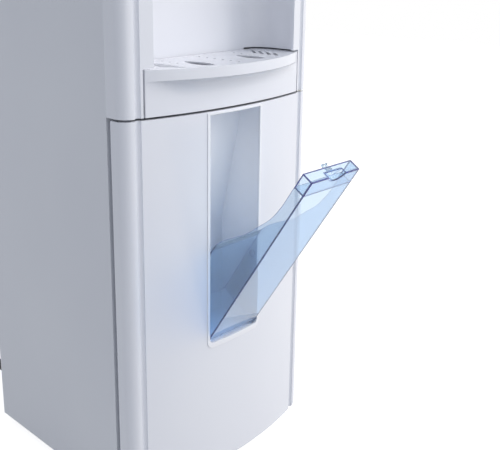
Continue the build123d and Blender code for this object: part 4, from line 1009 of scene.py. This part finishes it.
@dataclass
class UnderAndRear:
    """Levelling feet, screws with cross recesses, the drain's cap and the condenser's clips."""

    foot_radius: float = 16.0
    screw_radius: float = 4.0
    seam_z: float = 570.0
    recess_place: float = 1.1
    recess_depth: float = 2.0
    tube_radius: float = 2.4
    tube_gaps: int = 11
    clipped_runs: tuple[int, int] = (1, 10)
    clip_places: tuple[float, float] = (-118.6, 106.6)
    clip_width: float = 12.0

    def build(self) -> None:
        """Makes the pieces from the floor up."""
        self.feet()
        self.screws()
        self.drain_cap()
        self.condenser_clips()

    def feet(self) -> None:
        """Replaces the plain feet with rubber pads under hexagon nuts."""
        low, high = low_corner("feet"), high_corner("feet")
        pads = Piece("foot_pads", "cabinet", BLACK_RUBBER, "rubber_black", ("feet",))
        nuts = Piece("foot_nuts", "cabinet", ZINC_PLATE, "zinc", ("feet",), Edge.FINE)
        pad = [(14.6, 0.0), (15.6, 0.5), (16.0, 1.6), (16.0, 6.4), (15.2, 7.6), (13.8, 8.0)]
        for x in (low.x + self.foot_radius, high.x - self.foot_radius):
            for y in (low.y + self.foot_radius, high.y - self.foot_radius):
                pads.turned(pad, (x, y, low.z), (0, 0, 1), 120, 30, 0.5)
                nuts.turned([(9.5, 8.0), (9.5, high.z - low.z)], (x, y, low.z), (0, 0, 1), 6)
        pads.finished()
        nuts.finished()

    def screws(self) -> None:
        """Replaces the rear screws with pan heads that have cross recesses."""
        low, high = low_corner("rear_screws"), high_corner("rear_screws")
        heads = Piece("pan_head_screws", "cabinet", ZINC_PLATE, "zinc", ("rear_screws",))
        recesses = Piece("recess_cutter", "cabinet", ZINC_PLATE, "zinc")
        dome = [(3.9, 0.0), (4.0, 0.5), (3.9, 1.2), (3.4, 1.9), (2.5, 2.25), (1.3, 2.4), (0.3, 2.4)]
        cross = [
            (-2.1, -0.4), (-0.4, -0.4), (-0.4, -2.1), (0.4, -2.1), (0.4, -0.4), (2.1, -0.4),
            (2.1, 0.4), (0.4, 0.4), (0.4, 2.1), (-0.4, 2.1), (-0.4, 0.4), (-2.1, 0.4),
        ]
        for x in (low.x + self.screw_radius, high.x - self.screw_radius):
            for z in (low.z + self.screw_radius, self.seam_z, high.z - self.screw_radius):
                heads.turned(dome, (x, low.y, z), (0, 1, 0), 32)
                place = (x, low.y + self.recess_place, z)
                recesses.plate(cross, place, (-1, 0, 0), (0, 0, 1), self.recess_depth)
        heads.finished(recesses)

    def drain_cap(self) -> None:
        """Replaces the plain drain plug with a cap that has a fluted grip and a sunk middle."""
        low, high = low_corner("drain_plug"), high_corner("drain_plug")
        cap = Piece("drain_cap", "cabinet", SHELL, "white_abs", ("drain_plug",))
        profile = [
            (11.0, 0.0), (11.0, 9.0), (14.2, 9.0), (15.0, 9.8), (15.0, 17.4), (14.2, 18.6), (13.0, 19.0),
            (9.4, 19.0), (8.6, 18.4), (8.2, 16.8), (0.5, 16.6),
        ]
        place = ((low.x + high.x) / 2, low.y, (low.z + high.z) / 2)
        cap.turned(profile, place, (0, 1, 0), 120, 20, 0.9)
        cap.finished()

    def condenser_clips(self) -> None:
        """Adds the four bent clips that hold the condenser off the rear panel."""
        panel_y = high_corner("rear_panel").y
        low, high = low_corner("condenser_coil"), high_corner("condenser_coil")
        pitch = (high.z - low.z - 2 * self.tube_radius) / self.tube_gaps
        reach = high.y - self.tube_radius - panel_y
        clip = [
            (0.0, -18.0), (1.2, -18.0), (1.2, -6.6), (reach - 2.6, -4.0), (reach + 4.6, -4.0),
            (reach + 4.6, 0.6), (reach + 3.4, 0.6), (reach + 3.4, -2.8), (reach - 3.2, -2.8), (0.0, -5.4),
        ]
        clips = Piece("condenser_clips", "cabinet", BLACK_ENAMEL, "black_enamel")
        for x in self.clip_places:
            for run in self.clipped_runs:
                place = (x, panel_y, low.z + self.tube_radius + run * pitch)
                clips.plate(clip, place, (0, 1, 0), (0, 0, 1), self.clip_width)
        clips.finished()


# ---------------------------------------------------------------- light, floor and camera


@dataclass
class Studio:
    """A white room: an even pale surround, a large soft lamp on the right, and two weak ones in front.

    The camera's place, turn and lens come from points measured in the photograph.
    """

    surround: str = "#c2c7d0"
    surround_strength: float = 1.0
    floor_half: float = 6.0
    floor_paint: tuple[float, float, float, float] = (0.42, 0.42, 0.43, 1.0)
    floor_glow: float = 0.86
    camera_place: Point = (-0.7692, -0.841, 0.7661)
    camera_yaw: float = math.radians(44.373)
    camera_pitch: float = math.radians(14.776)
    lens: float = 56.66
    lens_shift: tuple[float, float] = (0.087, -0.12)

    def build(self) -> None:
        """Makes the world, the lamps, the floor and the camera."""
        self.world()
        self.lamp("key_lamp", (2.6, -2.3, 2.1), (0.0, 0.0, 0.5), 2.2, 60.0, "#fff8f0")
        self.lamp("fill_lamp", (-0.3, -3.0, 1.0), (0.0, 0.0, 0.4), 2.2, 8.0, "#ffffff")
        self.lamp("high_lamp", (0.8, -1.8, 2.3), (0.05, -0.1, 0.7), 1.2, 14.0, "#ffffff")
        self.floor()
        self.camera()
        bpy.context.scene.view_settings.view_transform = "Standard"
        LOG.info("studio")

    def seen(self, tree: bpy.types.NodeTree) -> Socket:
        """Adds a value of 1 for rays that show the background: in the lens, in gloss or through plastic.

        Args:
            tree: The tree that gets the nodes.

        Returns:
            The value's socket.
        """
        path = add_node(tree, "ShaderNodeLightPath")
        either = add_node(
            tree,
            "ShaderNodeMath",
            {"operation": "MAXIMUM"},
            {0: path.outputs["Is Camera Ray"], 1: path.outputs["Is Glossy Ray"]},
        )
        return add_node(
            tree,
            "ShaderNodeMath",
            {"operation": "MAXIMUM"},
            {0: either.outputs[0], 1: path.outputs["Is Transmission Ray"]},
        ).outputs[0]

    def world(self) -> None:
        """Makes a surround that is white to look at and lights the cooler with a quieter cool grey."""
        world = bpy.data.worlds.new("pale_room")
        world.use_nodes = True
        tree = world.node_tree
        tree.nodes.clear()
        lighting = add_node(
            tree,
            "ShaderNodeBackground",
            {"Color": linear(self.surround), "Strength": self.surround_strength},
        )
        shown = add_node(tree, "ShaderNodeBackground", {"Color": (1.0, 1.0, 1.0, 1.0), "Strength": 1.0})
        mixed = add_node(
            tree,
            "ShaderNodeMixShader",
            None,
            {0: self.seen(tree), 1: lighting.outputs[0], 2: shown.outputs[0]},
        )
        add_node(tree, "ShaderNodeOutputWorld", None, {"Surface": mixed.outputs[0]})
        bpy.context.scene.world = world

    def lamp(self, name: str, place: Point, target: Point, size: float, power: float, colour: str) -> None:
        """Adds a square soft lamp.

        Args:
            name: The lamp's name.
            place: Where it stands.
            target: What it faces.
            size: Its side.
            power: Its power in watts.
            colour: Its hex colour.
        """
        data = bpy.data.lights.new(name, "AREA")
        data.size = size
        data.energy = power
        data.color = linear(colour)[:3]
        lamp = bpy.data.objects.new(name, data)
        lamp.location = place
        lamp.rotation_euler = (Vector(target) - Vector(place)).to_track_quat("-Z", "Y").to_euler()
        bpy.context.scene.collection.objects.link(lamp)

    def floor(self) -> None:
        """Makes a pale floor that looks white and keeps a soft shadow."""
        mesh = bpy.data.meshes.new("floor")
        square = ((-1, -1), (1, -1), (1, 1), (-1, 1))
        corners = [(x * self.floor_half, y * self.floor_half, 0.0) for x, y in square]
        mesh.from_pydata(corners, [], [(0, 1, 2, 3)])
        floor = bpy.data.objects.new("floor", mesh)
        bpy.context.scene.collection.objects.link(floor)
        finish = bpy.data.materials.new("pale_floor")
        finish.use_nodes = True
        tree = finish.node_tree
        tree.nodes.clear()
        dull = add_node(tree, "ShaderNodeBsdfDiffuse", {"Color": self.floor_paint})
        glow = add_node(
            tree,
            "ShaderNodeEmission",
            {"Color": (1.0, 1.0, 1.0, 1.0)},
            {"Strength": self.dimmed(tree, self.floor_glow)},
        )
        both = add_node(tree, "ShaderNodeAddShader", None, {0: dull.outputs[0], 1: glow.outputs[0]})
        add_node(tree, "ShaderNodeOutputMaterial", None, {"Surface": both.outputs[0]})
        mesh.materials.append(finish)

    def dimmed(self, tree: bpy.types.NodeTree, strength: float) -> Socket:
        """Adds a strength for the rays that show the background, and none for the rest.

        Args:
            tree: The tree that gets the nodes.
            strength: How brightly those rays see it.

        Returns:
            The strength's socket.
        """
        product = add_node(tree, "ShaderNodeMath", {"operation": "MULTIPLY"}, {0: self.seen(tree)})
        product.inputs[1].default_value = strength
        return product.outputs[0]

    def camera(self) -> None:
        """Sets the camera where the photograph was taken: on the cooler's left, looking a little down."""
        data = bpy.data.cameras.new("photo_camera")
        data.sensor_width = 36.0
        data.lens = self.lens
        data.shift_x, data.shift_y = self.lens_shift
        data.clip_start = 0.01
        camera = bpy.data.objects.new("photo_camera", data)
        camera.location = self.camera_place
        yaw, pitch = self.camera_yaw, self.camera_pitch
        ahead = Vector((math.sin(yaw) * math.cos(pitch), math.cos(yaw) * math.cos(pitch), -math.sin(pitch)))
        camera.rotation_euler = ahead.to_track_quat("-Z", "Y").to_euler()
        bpy.context.scene.collection.objects.link(camera)
        bpy.context.scene.camera = camera


def main() -> None:
    """Builds the sub-assemblies in order."""
    logging.basicConfig(level=logging.INFO, format="%(name)s: %(message)s")
    Studio().build()
    FrameDressing().dress()
    FrontDetails().build()
    BinPaintedEdgeLight().build()
    BayDetails().build()
    UnderAndRear().build()


if __name__ == "__main__":
    main()
